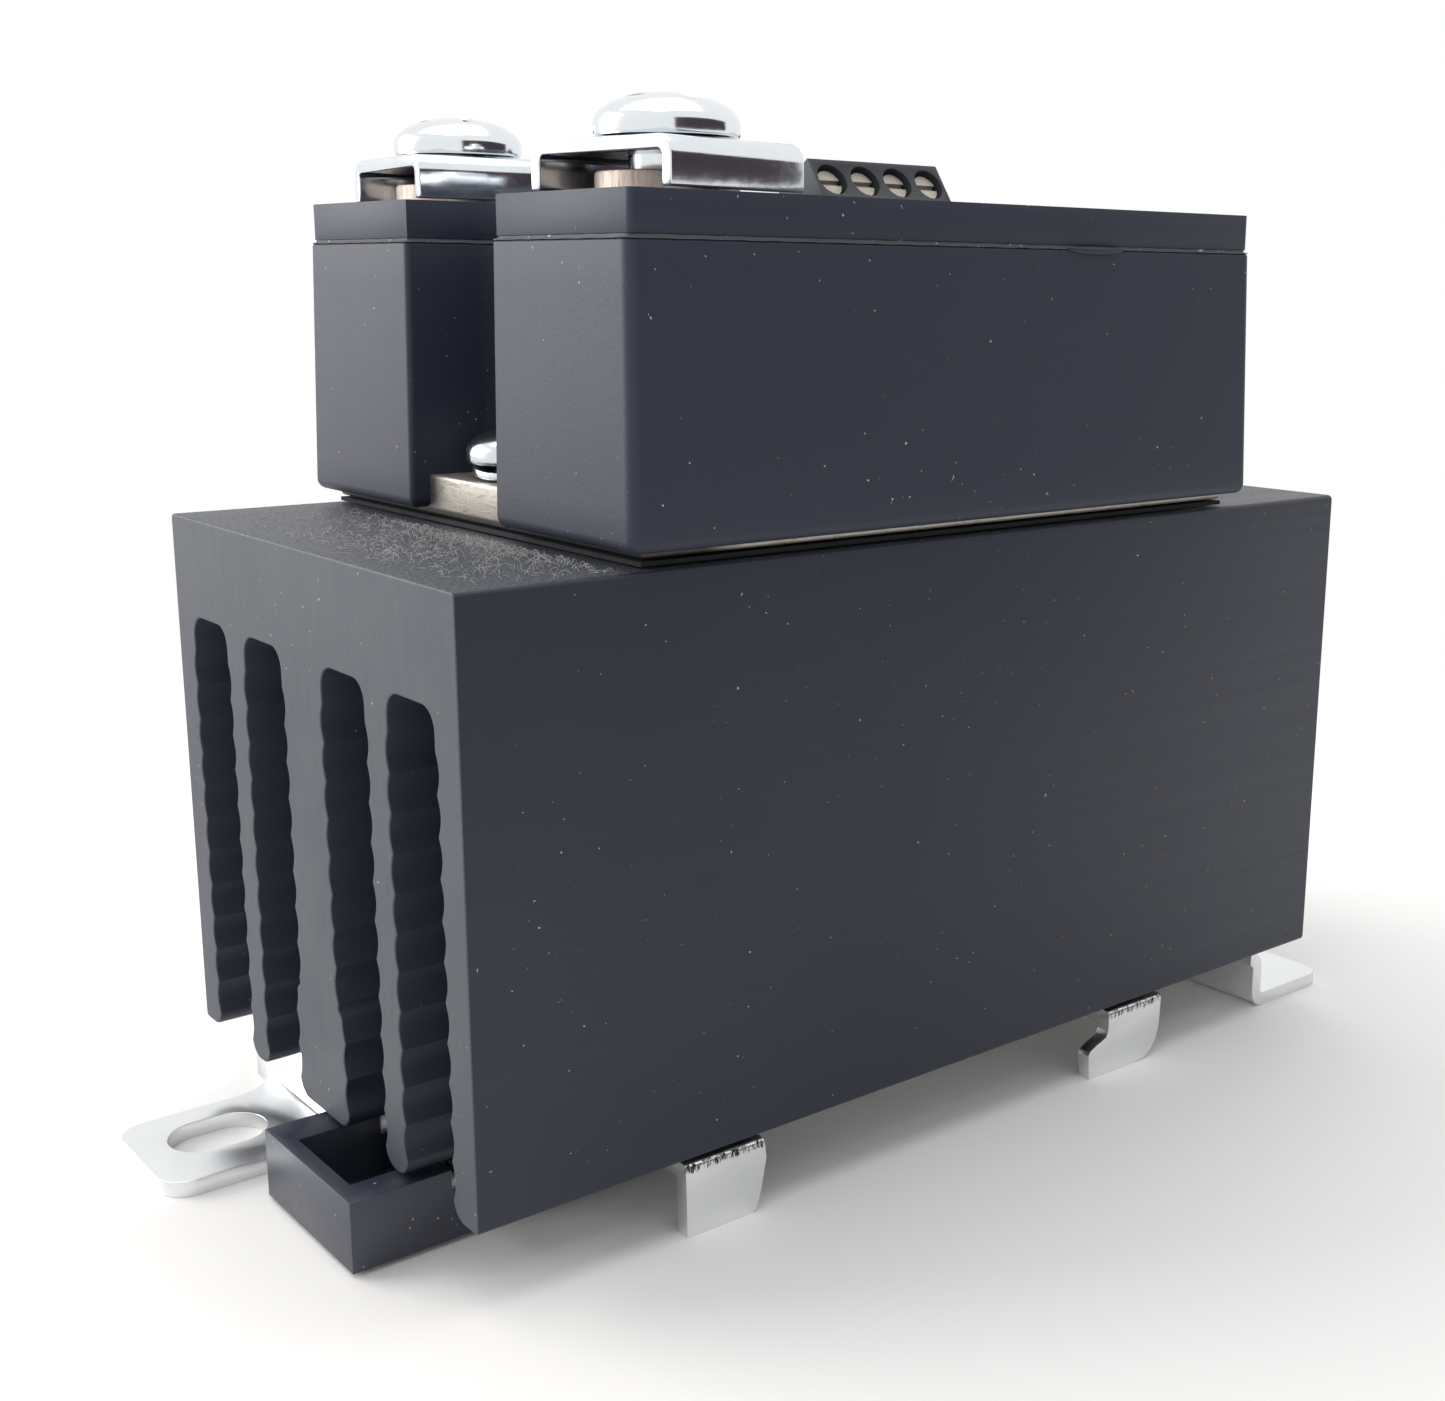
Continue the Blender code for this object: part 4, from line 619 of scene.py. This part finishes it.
def slot_wall(y, into, foot, sizes):
    """One wall of a fin slot, from its tip up.

    Y is the wall's place plus the hollow depth times the absolute sine of the height over the
    pitch, less the web foot's extra where the height is under its limit, eased over 0.6 mm.
    """
    phase = np.linspace(0, SCALLOPS, SCALLOPS * 12 + 1)
    z = SCALLOP_START + sizes.scallop_pitch * phase
    hollow = sizes.scallop_depth * np.abs(np.sin(np.pi * phase))
    ease = np.clip((WEB_FOOT_TOP - z) / (0.6 * MM), 0, 1) * foot * WEB_FOOT
    return np.stack([y + into * (hollow - ease), z], 1)


def heat_sink_profile(sizes):
    """The extrusion's cross-section, counter-clockwise in Y and Z, from its near lower corner."""
    width = float(SINK[1][1] - SINK[0][1])
    top = float(SINK[1][2] - SINK[0][2])
    ceiling = top - TOP_PLATE
    edge = 0.4 * MM
    round_top = 1.5 * MM
    tip = 1.4 * MM
    slots = SLOTS + [(width - b, width - a, d, c) for a, b, c, d in reversed(SLOTS)]
    parts = [arc((width - edge, edge), edge, -90, 0, 5),
             arc((width - edge, top - edge), edge, 0, 90, 6),
             arc((edge, top - edge), edge, 90, 180, 6),
             arc((edge, edge), edge, 180, 270, 5)]
    for low, high, foot_low, foot_high in slots:
        low_tip = low + foot_low * WEB_FOOT
        high_tip = high - foot_high * WEB_FOOT
        parts.append(arc((low_tip - tip, tip), tip, -88, -20, 8))
        parts.append(slot_wall(low, -1, foot_low, sizes))
        parts.append(arc((low + round_top, ceiling - round_top), round_top, 180, 90, 9))
        parts.append(arc((high - round_top, ceiling - round_top), round_top, 90, 0, 9))
        parts.append(slot_wall(high, 1, foot_high, sizes)[::-1])
        parts.append(arc((high_tip + tip, tip), tip, 200, 268, 8))
    return np.concatenate(parts) + SINK[0][1:]


class RELAY_OT_heat_sink(bpy.types.Operator):
    """Extruded heat sink with scalloped fin walls, sawn ends and dust."""

    bl_idname = "relay.heat_sink"
    bl_label = "Heat sink"

    def execute(self, context):
        sizes = context.scene.relay_sizes
        colours = context.scene.relay_colours
        rings = rounded_rings(heat_sink_profile(sizes), "X", SINK[0][0], SINK[1][0],
                              sizes.sink_edge, steps=2)
        mesh = mesh_from_rings("heat_sink_body", rings)
        item = place("heat_sink_body", mesh, "base", "heat_sink", smooth=40)
        dress(item, black_anodised_aluminium(colours), sawn_end_with_painted_light(colours))
        # Faces across X take the sawn end finish, which is paler partly as painted light.
        sawn = [int(abs(face.normal[0]) > 0.5) for face in mesh.polygons]
        mesh.polygons.foreach_set("material_index", sawn)
        return {"FINISHED"}


# ---------------------------------------------------------------- relay case

def notch(shape, grow):
    """Open notch in an end at X = 0: two straight sides and two quarter circles, as arrays."""
    half = shape[0] / 2 + grow
    end = shape[1] + grow
    radius = shape[2] + grow
    return np.concatenate([[[0.0, half]], arc((end - radius, half - radius), radius, 90, 0, 20),
                           arc((end - radius, radius - half), radius, 0, -90, 20),
                           [[0.0, -half]]])


def case_outline(inset, grow, corner, widen=0.0, lengthen=0.0):
    """Plan of the case, drawn in by an inset; the draft widens and lengthens it lower down."""
    half = CASE_HALF_WIDTH - inset + widen
    near = inset - lengthen
    far = CASE_LENGTH - near
    lip = NOTCH_LIP
    near_notch = notch(NEAR_NOTCH, grow)
    far_notch = np.array([CASE_LENGTH, 0.0]) - notch(FAR_NOTCH, grow)
    near_half = near_notch[0][1]
    far_half = far_notch[-1][1]
    parts = [arc((near + corner, -half + corner), corner, 180, 270, 10),
             arc((far - corner, -half + corner), corner, 270, 360, 10),
             arc((far - lip, -far_half - lip), lip, 0, 90, 6),
             far_notch[1:-1],
             arc((far - lip, far_half + lip), lip, -90, 0, 6),
             arc((far - corner, half - corner), corner, 0, 90, 10),
             arc((near + corner, half - corner), corner, 90, 180, 10),
             arc((near + lip, near_half + lip), lip, 180, 270, 6),
             near_notch[1:-1],
             arc((near + lip, -near_half - lip), lip, 90, 180, 6)]
    past_lid = 0.28 * MM
    return np.concatenate(parts) + np.array([LID[0][0] - past_lid, MIDDLE_Y])


def case_rings(sizes):
    """Rings of the drafted shell.

    The outer wall widens from top to bottom in a straight line, both edges are quarter circles,
    and the skin then turns over the rim and down the inner wall, which closes it.
    """
    bottom = float(CASE[0][2])
    top = float(CASE[1][2])
    edge = sizes.case_edge
    foot = sizes.case_foot

    def outer(z, inset):
        share = (top - z) / (top - bottom)
        plan = case_outline(0.0, 0.0, CASE_CORNER, 0.6 * MM * share, 0.4 * MM * share)
        return across(drawn_in(plan, inset), "Z", z)

    angle = np.radians(np.linspace(0, 90, 6))
    lower = [outer(bottom + foot * (1 - math.cos(a)), foot * (1 - math.sin(a))) for a in angle]
    steps = [outer(z, 0.0) for z in np.linspace(bottom, top, 8)[1:-1]]
    upper = [outer(top - edge * (1 - math.cos(a)), edge * (1 - math.sin(a)))
             for a in angle[::-1]]
    inner_plan = case_outline(CASE_WALL, 1.0 * MM, 0.6 * MM)
    inner = [across(inner_plan, "Z", z) for z in (top, bottom + 3.0 * MM)]
    return lower + steps + upper + inner


def flash_rings():
    """The moulding flash in the seam: a thin band whose outer edge wanders.

    The edge stands out by a small constant plus three sines of the distance round the case.
    """
    plan = case_outline(0.0, 0.0, CASE_CORNER)
    fine = []
    for a, b in zip(plan, np.roll(plan, -1, 0)):
        count = max(1, int(np.linalg.norm(b - a) / (0.25 * MM)))
        fine.append(a + (b - a) * (np.arange(count) / count)[:, None])
    plan = np.concatenate(fine)
    way = np.cumsum(np.linalg.norm(np.roll(plan, -1, 0) - plan, axis=1)) / MM
    wander = 0.5 + 0.25 * np.sin(way * 1.9) + 0.2 * np.sin(way * 4.7 + 1) + 0.2 * np.sin(way * 9.1)
    out = (0.005 + 0.05 * np.clip(wander, 0, 1) ** 2) * MM
    lift = 0.012 * MM * np.sin(way * 2.3)
    normal = (drawn_in(plan, 1.0 * MM) - plan) / MM
    # Height over the seam in mm, and the inset: a share of the edge's reach, or halves of a mm
    levels = [(-0.02, 1.6), (0.0, 0.3), (0.03, -1.0), (0.08, -0.8), (0.12, 0.5), (0.285, 0.66),
              (0.285, 1.8)]
    rings = []
    for height, share in levels:
        inset = share * out if share < 0 else np.full(len(plan), share * 0.5 * MM)
        level = CASE[1][2] + height * MM + lift
        rings.append(np.hstack([plan + normal * inset[:, None], level[:, None]]))
    return rings


class RELAY_OT_case(bpy.types.Operator):
    """Moulded case and lid, the flash in their seam and the small pry bump."""

    bl_idname = "relay.case"
    bl_label = "Case and lid"

    def execute(self, context):
        sizes = context.scene.relay_sizes
        colours = context.scene.relay_colours
        pale = [min(1.0, v * 1.18) for v in colours.case]
        plastic = moulded_plastic("glass-filled polyester, moulded", colours.case, pale,
                                  rough=0.5, grain=0.22 * MM, dust_amount=0.212, dust=colours.dust)
        mesh = mesh_from_rings("relay_case", case_rings(sizes), looped=True)
        dress(place("relay_case", mesh, "base", "relay_housing"), plastic)
        dress(softened("top_cover", "relay_lid", 0.16 * MM, "base"), plastic)
        rough = moulded_plastic("polyester flash, torn edge", tone("#3b3d43"), tone("#5b5d62"),
                                rough=0.65, grain=0.3 * MM, dust_amount=0.3, dust=colours.dust)
        flash = mesh_from_rings("seam_flash", flash_rings(), looped=True)
        dress(place("seam_flash", flash, "base", None), rough)
        self.pry_bump(plastic)
        return {"FINISHED"}

    def pry_bump(self, plastic):
        """A lens on the long side: half height and depth go as one minus the square of place."""
        u = np.linspace(-1, 1, 25)[:, None]
        around = np.linspace(0, 2 * np.pi, 12, endpoint=False)[None, :]
        swell = np.sqrt(1 - u ** 2) * 0.999 + 0.001
        x = float(LID[0][0]) + (40.0 + 3.1 * u) * MM + 0 * around
        y = float(CASE[0][1]) + (0.62 + 0.28 * swell * np.cos(around)) * MM
        z = float(CASE[1][2]) + (0.1 - 0.15 * swell + 0.3 * swell * np.sin(around)) * MM
        mesh = mesh_from_rings("pry_bump", np.stack([x, y, z], 2))
        dress(place("pry_bump", mesh, "base", None, smooth=60),
              plastic)


# ---------------------------------------------------------------- metal and small pieces

def domed_screw(name, radius, height, rim, shank, reach, slot, floor):
    """A pan head on Z = 0 over its shank, with a cross recess.

    The dome's radius goes as the cosine, and its height as the sine, of an angle up to 87
    degrees; the recess has two equal arms, 0.62 of the head's radius long.
    """
    angle = np.radians(np.linspace(0, 87, 22))
    dome = np.stack([radius * np.cos(angle), rim + (height - rim) * np.sin(angle)], 1)
    low = [(shank - 0.2 * MM, -reach), (shank, -reach + 0.2 * MM), (shank, 0.0),
           (radius - 0.25 * MM, 0.0), (radius - 0.06 * MM, 0.08 * MM), (radius, 0.28 * MM)]
    half = slot / 2
    arm = radius * 0.62
    tools = [slab(-half, half, -arm, arm, floor, 3 * height),
             slab(-arm, arm, -half, half, floor, 3 * height)]
    mesh = carved(lathe(name, np.concatenate([low, dome])), tools, 0.1 * MM)
    centre = np.array([face.center[:] for face in mesh.polygons])
    out = np.hypot(centre[:, 0], centre[:, 1])
    skin = rim + (height - rim) * np.sqrt(np.clip(1 - (out / radius) ** 2, 0, 1))
    # Faces down in the cross recess take the second material, which is darkened there as painted
    # shade.
    inside = (centre[:, 2] > floor - 0.05 * MM) & (centre[:, 2] < skin - 0.14 * MM)
    mesh.polygons.foreach_set("material_index", (inside & (out < 0.97 * radius)).astype(np.int32))
    return mesh


def spring_washer(name, inner, outer, thick, wave):
    """A ring whose height goes as a small sine of three times the angle round it."""
    around = np.linspace(0, 2 * np.pi, 120, endpoint=False)
    soft = 0.12 * MM
    section = np.concatenate([arc((outer - soft, soft), soft, -90, 0, 4),
                              arc((outer - soft, thick - soft), soft, 0, 90, 4),
                              arc((inner + soft, thick - soft), soft, 90, 180, 4),
                              arc((inner + soft, soft), soft, 180, 270, 4)])
    lift = wave * (1 + np.sin(3 * around + 0.6))
    rings = np.stack([section[None, :, 0] * np.cos(around)[:, None],
                      section[None, :, 0] * np.sin(around)[:, None],
                      section[None, :, 1] + lift[:, None]], 2)
    return mesh_from_rings(name, rings, looped=True)


class RELAY_OT_base_plate(bpy.types.Operator):
    """Base plate, thermal pad, and the screws and washers that hold the relay down."""

    bl_idname = "relay.base_plate"
    bl_label = "Base plate and its screws"

    def execute(self, context):
        colours = context.scene.relay_colours
        dress(softened("base_plate", "bare_base_plate", 0.25 * MM, "base"),
              sawn_plate(colours))
        # The pad's near-black tones are painted shade: they stand for the dark gap under the base
        # plate.
        dress_nodes(["thermal_pad"],
                    plain_stock("silicone pad, filled", tone("#131419"), tone("#1c1d22"), 0.85))
        zinc = bright_zinc("bright zinc on turned steel", colours.zinc, tone("#c3cad2"),
                           rough=0.14, wave=0.05)
        # The recess finish: its darker colour is painted shade.
        worn = shaded_recess_zinc()
        height = 2.6 * MM
        for end in ("near", "far"):
            low, high = box("mounting_screw_" + end)
            x, y = (low[:2] + high[:2]) / 2
            head = high[2] - height
            mesh = domed_screw("plate_screw_" + end, radius=4.0 * MM, height=height,
                               rim=0.7 * MM, shank=2.0 * MM, reach=float(head - low[2]),
                               slot=1.1 * MM, floor=1.3 * MM)
            dress(place("plate_screw_" + end, set_down(mesh, x, y, head, 40), "base",
                        "mounting_screw_" + end, 40), zinc, worn)
            ring = spring_washer("plate_washer_" + end, inner=2.2 * MM, outer=3.6 * MM,
                                 thick=0.56 * MM, wave=0.16 * MM)
            set_down(ring, x, y, box("lock_washer_" + end)[0][2])
            dress(place("plate_washer_" + end, ring, "base", "lock_washer_" + end,
                        40), zinc)
        return {"FINISHED"}


def clamp_outline(half, foot):
    """U-shaped sheet seen along its channel: two outer and two inner quarter circles."""
    sheet = 0.9 * MM
    bend = 1.3 * MM
    inner = bend - sheet
    return np.concatenate([[(half, foot)],
                           arc((half - bend, -bend), bend, 0, 90, 12),
                           arc((bend - half, -bend), bend, 90, 180, 12),
                           [(-half, foot), (sheet - half, foot)],
                           arc((bend - half, -bend), inner, 180, 90, 8),
                           arc((half - bend, -bend), inner, 90, 0, 8),
                           [(half - sheet, foot)]])


class RELAY_OT_terminals(bpy.types.Operator):
    """Power terminals: posts, pressed clamps and their screws."""

    bl_idname = "relay.terminals"
    bl_label = "Power terminals"

    def execute(self, context):
        colours = context.scene.relay_colours
        zinc = bright_zinc("bright zinc on pressed steel", colours.zinc, tone("#d9e1e8"),
                           rough=0.12, wave=0.25)
        head = bright_zinc("bright zinc on cold-headed steel", colours.zinc, tone("#dfe6ec"),
                           rough=0.12, wave=0.1)
        tin = turned_tin(colours)
        # The recess finish: its darker colour is painted shade.
        worn = shaded_recess_zinc()
        for side, skew in (("right", 7.9), ("left", -6.0)):
            low, high = box("terminal_post_" + side)
            x, y = (low[:2] + high[:2]) / 2
            dress(place("post_" + side, self.post(side, low, high), "base",
                        "terminal_post_" + side), tin)
            low, high = box("terminal_clamp_" + side)
            mesh = self.clamp(side, float(low[2] - high[2]), context.scene.relay_sizes.metal_edge)
            dress(place("clamp_plate_" + side, set_down(mesh, x, y, high[2], skew),
                        "clamp_" + side, "terminal_clamp_" + side, 40), zinc)
            base = high[2] + 0.2 * MM
            low, high = box("terminal_screw_" + side)
            mesh = domed_screw("clamp_screw_" + side, radius=4.75 * MM,
                               height=float(high[2] - base), rim=0.85 * MM, shank=2.5 * MM,
                               reach=float(base - low[2]), slot=1.3 * MM, floor=1.5 * MM)
            dress(place("clamp_screw_" + side, set_down(mesh, x, y, base, skew),
                        "screw_" + side, "terminal_screw_" + side, 40), head, worn)
        return {"FINISHED"}

    def post(self, side, low, high):
        """A turned ring with a chamfered rim."""
        x, y = (low[:2] + high[:2]) / 2
        bore = 2.8 * MM
        outer = (high[0] - low[0]) / 2
        edge = 0.2 * MM
        section = [(bore, low[2]), (outer, low[2]), (outer, high[2] - edge),
                   (outer - edge * 0.3, high[2] - edge * 0.3), (outer - edge, high[2]),
                   (bore, high[2])]
        return set_down(lathe("post_" + side, section, looped=True), x, y, 0.0)

    def clamp(self, side, foot, edge):
        """A bent sheet with a round hole."""
        half_across = 6.75 * MM
        half_along = 5.8 * MM
        bore = 2.8 * MM
        reach = 5 * MM
        outline = clamp_outline(half_across, foot)
        rings = [across(outline, "X", level) for level in (-half_along, half_along)]
        hole = lathe("hole", [(bore, -reach), (bore, reach)])
        return carved(mesh_from_rings("clamp_plate_" + side, rings), [hole], edge)


class RELAY_OT_control_plug(bpy.types.Operator):
    """Control plug with its clamping screws and wire cages."""

    bl_idname = "relay.control_plug"
    bl_label = "Control plug"

    def execute(self, context):
        dust = context.scene.relay_colours.dust
        grey = moulded_plastic("polyamide, moulded", tone("#2f3136"), tone("#3c3e43"),
                               rough=0.55, grain=0.2 * MM, dust_amount=0.21, dust=dust)
        dress(softened("control_plug", "plug_block", 0.1 * MM, "base"), grey)
        tin = bright_zinc("tinned steel screw, dulled", tone("#d2cdc1"), tone("#a19c91"),
                          rough=0.6, wave=0.1)
        dress_nodes(numbered("control_screw", 4) + numbered("wire_cage", 4), tin)
        dress_nodes(numbered("plug_contact", 4),
                    plain_stock("tinned bronze", tone("#c9bda6"), tone("#b3a68e"), 0.3, 1.0))
        return {"FINISHED"}


class RELAY_OT_bracket(bpy.types.Operator):
    """Plated rail bracket and its two screws."""

    bl_idname = "relay.bracket"
    bl_label = "Rail bracket"

    def execute(self, context):
        zinc = blanked_zinc(context.scene.relay_colours)
        edge = context.scene.relay_sizes.metal_edge
        dress(softened("din_bracket", "rail_bracket", edge, "base", 3), zinc)
        dress_nodes(["bracket_screw_near", "bracket_screw_far"], zinc)
        return {"FINISHED"}


class RELAY_OT_latch(bpy.types.Operator):
    """Satin rail latch and its coil spring."""

    bl_idname = "relay.latch"
    bl_label = "Rail latch"

    def execute(self, context):
        dust = context.scene.relay_colours.dust
        satin = moulded_plastic("polyamide, polished mould", tone("#232735"), tone("#2a2e3d"),
                                rough=0.4, grain=0.9 * MM, dust_amount=0.225, dust=dust, gloss=0.8)
        dress(softened("din_latch", "latch_slider", 0.18 * MM, "latch"), satin)
        low, high = box("latch_spring")
        spring = place("coil_spring", self.coil(low, high), "base", "latch_spring",
                       60)
        dress(spring, bright_zinc("spring steel wire", tone("#b9bcc0"), tone("#9ea2a7"),
                                  rough=0.25, wave=0.05))
        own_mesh(spring)
        return {"FINISHED"}

    def coil(self, low, high):
        """A helix along X: X goes evenly with the turn, Y and Z as its cosine and sine."""
        turn = np.linspace(0, 7, 7 * 24 + 1) * 2 * np.pi
        wire = 0.225 * MM
        radius = (high[2] - low[2]) / 2 - wire
        run = high[0] - low[0] - 2 * wire
        path = np.stack([low[0] + wire + run * turn / turn[-1],
                         (low[1] + high[1]) / 2 + radius * np.cos(turn),
                         (low[2] + high[2]) / 2 + radius * np.sin(turn)], 1)
        return tube_mesh("coil_spring", [path], wire, 8)


class RELAY_OT_inner_parts(bpy.types.Operator):
    """Finishes of what the case hides: conductors, carrier, chips, fill and board."""

    bl_idname = "relay.inner_parts"
    bl_label = "Inner parts"

    def execute(self, context):
        # Nodes, the finish's name, its two tones, its roughness and how much of a metal it is
        stocks = [
            (["busbar_right", "busbar_left"] + numbered("gate_lead", 4),
             "rolled copper", "#c98a63", "#b97850", 0.3, 1.0),
            (numbered("header_pin", 4), "tinned brass", "#cfcabb", "#bdb7a6", 0.3, 1.0),
            (["ceramic_substrate"], "alumina, fired", "#efefea", "#e2e2dc", 0.5, 0.0),
            (["power_chip_right", "power_chip_left"],
             "silicon, lapped", "#6c7078", "#5a5e66", 0.25, 0.5),
            (["potting_compound"], "silicone gel", "#8f949b", "#7f848b", 0.3, 0.0),
            (["circuit_board"], "glass epoxy, green mask", "#1d5a35", "#25653f", 0.4, 0.0),
            (["optocoupler", "control_chip", "control_header"],
             "epoxy, moulded", "#232427", "#2c2d30", 0.55, 0.0),
            (["film_capacitor"], "dipped epoxy", "#c98f2c", "#b97f22", 0.35, 0.0),
            (numbered("board_resistor", 3), "thick film", "#33383d", "#41474d", 0.5, 0.0)]
        for names, stock, dark, light, rough, metal in stocks:
            dress_nodes(names, plain_stock(stock, tone(dark), tone(light), rough, metal))
        return {"FINISHED"}


# ---------------------------------------------------------------- dust and lint

class RELAY_OT_lint(bpy.types.Operator):
    """Lint fibres caught on the heat sink's top beside the relay."""

    bl_idname = "relay.lint"
    bl_label = "Lint"

    def execute(self, context):
        radius = context.scene.relay_sizes.fibre_radius
        rng = np.random.default_rng(7)
        fibres = [self.fibre(rng, radius) for _ in range(1150)]
        mesh = tube_mesh("lint", [path for path in fibres if self.fits(path)], radius, 4)
        dress(place("lint", mesh, "base", None),
              plain_stock("cotton lint", context.scene.relay_colours.dust, tone("#c9c7c2"), 0.9))
        return {"FINISHED"}

    def fibre(self, rng, radius):
        """A path of six even steps whose heading turns evenly, raised by half a sine."""
        near = rng.random() ** 2.0
        x = SINK[0][0] + (11.4 - 9.6 * near) * MM
        y = SINK[0][1] + (18.0 + rng.normal(0, 9.5)) * MM
        heading = rng.uniform(0, 2 * np.pi)
        length = (0.2 + 0.5 * rng.random() + 0.9 * rng.random() ** 6) * MM
        s = np.linspace(0, 1, 7)
        bend = heading + rng.uniform(-1.2, 1.2) * s
        step = length / 6
        dx = np.concatenate([[0], np.cumsum(np.cos(bend[1:]) * step)])
        dy = np.concatenate([[0], np.cumsum(np.sin(bend[1:]) * step)])
        rise = rng.uniform(0.0, 0.35) * MM * np.sin(np.pi * s)
        return np.stack([x + dx, y + dy, SINK_TOP + radius + rise], 1)

    def fits(self, path):
        """Whether a fibre lies on the open strip between the heat sink's end and the relay."""
        return (path[:, 0].min() > SINK[0][0] and path[:, 0].max() < SINK[0][0] + 11.6 * MM
                and abs(path[:, 1] - MIDDLE_Y).max() < 21.5 * MM)


# ---------------------------------------------------------------- stage

def direct_rays(holder):
    """One for camera, glossy and transmission rays, and zero for all others."""
    path = add(holder, "ShaderNodeLightPath").outputs
    seen = add(holder, "ShaderNodeMath",
               {0: path["Is Camera Ray"], 1: path["Is Glossy Ray"]}, operation="ADD")
    return add(holder, "ShaderNodeMath", {0: seen, 1: path["Is Transmission Ray"]},
               operation="ADD", use_clamp=True)


class RELAY_OT_stage(bpy.types.Operator):
    """White sweep, soft lamps, world and the camera at the photograph's angle."""

    bl_idname = "relay.stage"
    bl_label = "Stage"

    def execute(self, context):
        self.floor()
        self.world(context.scene)
        self.lamp("left window", at=(-0.56, 0.60, 0.30), size=0.62, power=6.5)
        self.lamp("overhead", at=(0.0, 0.1, 0.9), size=0.9, power=4.2)
        self.dark_card()
        self.camera(context.scene)
        context.scene.view_settings.view_transform = "Standard"
        return {"FINISHED"}

    def floor(self):
        """White paper that keeps the shadow and fades to plain white away from the object."""
        material, coords = start_material("white paper sweep")
        nodes = material.node_tree.nodes
        away = add(material, "ShaderNodeVectorMath", {0: coords}, operation="LENGTH")
        fade = add(material, "ShaderNodeMapRange",
                   {"Value": away.outputs["Value"], "From Min": 0.075, "From Max": 0.2})
        share = add(material, "ShaderNodeMath", {0: direct_rays(material), 1: fade},
                    operation="MULTIPLY")
        inputs = shader_inputs(material)
        inputs["Base Color"].default_value = (*tone("#fbf8f3"), 1)
        inputs["Roughness"].default_value = 0.6
        inputs["Specular IOR Level"].default_value = 0.2
        white = add(material, "ShaderNodeEmission", {"Strength": 1.0})
        mix = add(material, "ShaderNodeMixShader",
                  {0: share, 1: nodes["Principled BSDF"], 2: white})
        plug_in(material, nodes["Material Output"].inputs["Surface"], mix)
        dress(backdrop("floor", 33, (0, 0, 0), (4, 0, 0), (0, 4, 0)), material)

    def world(self, scene):
        """Even cool light, seen as white by the camera and in reflections."""
        world = bpy.data.worlds.new("studio")
        scene.world = world
        world.use_nodes = True
        nodes = world.node_tree.nodes
        nodes["Background"].inputs["Color"].default_value = (*tone("#f0f3fa"), 1)
        nodes["Background"].inputs["Strength"].default_value = 0.72
        white = add(world, "ShaderNodeBackground", {"Color": (1, 1, 1, 1)})
        mix = add(world, "ShaderNodeMixShader",
                  {0: direct_rays(world), 1: nodes["Background"], 2: white})
        plug_in(world, nodes["World Output"].inputs["Surface"], mix)

    def lamp(self, name, at, size, power):
        """A square soft lamp that faces the object."""
        data = bpy.data.lights.new(name, "AREA")
        data.size = size
        data.energy = power
        item = put(name, data)
        item.location = at
        middle = Vector((0, 0, 0.035))
        aim = middle - Vector(at)
        item.rotation_euler = aim.to_track_quat("-Z", "Y").to_euler()

    def dark_card(self):
        """A dark card behind the camera, only for metal to reflect."""
        item = backdrop("dark_card", 5, (0.42, -0.42, 0.12), (0.6, 0, 0), (0, 0, 0.13))
        item.visible_camera = False
        item.visible_diffuse = False
        item.visible_shadow = False
        dress(item, plain_stock("dark felt card", tone("#241a21"), tone("#372a33"), 0.9, size=0.05))

    def camera(self, scene):
        """The camera, from a fit of the photograph's straight edges."""
        data = bpy.data.cameras.new("camera")
        data.sensor_width = 36.0
        data.lens = data.sensor_width * FOCAL_LENGTH / PHOTO_WIDTH
        data.shift_x = (PHOTO_WIDTH / 2 - LENS_AXIS[0]) / PHOTO_WIDTH
        data.shift_y = (LENS_AXIS[1] - PHOTO_HEIGHT / 2) / PHOTO_WIDTH
        data.clip_start = 0.01
        data.clip_end = 20.0
        item = put("camera", data)
        right = Vector((0.76579, -0.64302, 0.00991))
        up = Vector((0.13202, 0.17228, 0.97616))
        forward = Vector((0.62940, 0.74622, -0.21682))
        turn = Matrix((right, up, -forward)).transposed().to_4x4()
        eye = Vector((-0.087339, -0.114971, 0.063672))
        item.matrix_world = Matrix.Translation(eye) @ turn
        scene.camera = item


class RELAY_PT_panel(bpy.types.Panel):
    """Sidebar panel that lists the pieces."""

    bl_idname = "RELAY_PT_panel"
    bl_label = "Relay"
    bl_space_type = "VIEW_3D"
    bl_region_type = "UI"
    bl_category = "Relay"

    def draw(self, context):
        for group in (context.scene.relay_sizes, context.scene.relay_colours):
            for name in group.bl_rna.properties.keys():
                if name not in ("rna_type", "name"):
                    self.layout.prop(group, name)
        for operator in OPERATORS:
            self.layout.operator(operator.bl_idname)


OPERATORS = (
    RELAY_OT_heat_sink,
    RELAY_OT_case,
    RELAY_OT_base_plate,
    RELAY_OT_terminals,
    RELAY_OT_control_plug,
    RELAY_OT_bracket,
    RELAY_OT_latch,
    RELAY_OT_inner_parts,
    RELAY_OT_lint,
    RELAY_OT_stage,
)
CLASSES = (RelaySizes, RelayColours) + OPERATORS + (RELAY_PT_panel,)


def register():
    """Register the classes and hang the settings on the scene."""
    for item in CLASSES:
        bpy.utils.register_class(item)
    bpy.types.Scene.relay_sizes = bpy.props.PointerProperty(type=RelaySizes)
    bpy.types.Scene.relay_colours = bpy.props.PointerProperty(type=RelayColours)


def unregister():
    """Take the settings and the classes away again."""
    del bpy.types.Scene.relay_colours
    del bpy.types.Scene.relay_sizes
    for item in reversed(CLASSES):
        bpy.utils.unregister_class(item)


def main():
    """Build every piece and the stage."""
    register()
    bpy.ops.relay.heat_sink()
    bpy.ops.relay.case()
    bpy.ops.relay.base_plate()
    bpy.ops.relay.terminals()
    bpy.ops.relay.control_plug()
    bpy.ops.relay.bracket()
    bpy.ops.relay.latch()
    bpy.ops.relay.inner_parts()
    bpy.ops.relay.lint()
    bpy.ops.relay.stage()
    bpy.context.view_layer.update()


if __name__ == "__main__":
    main()
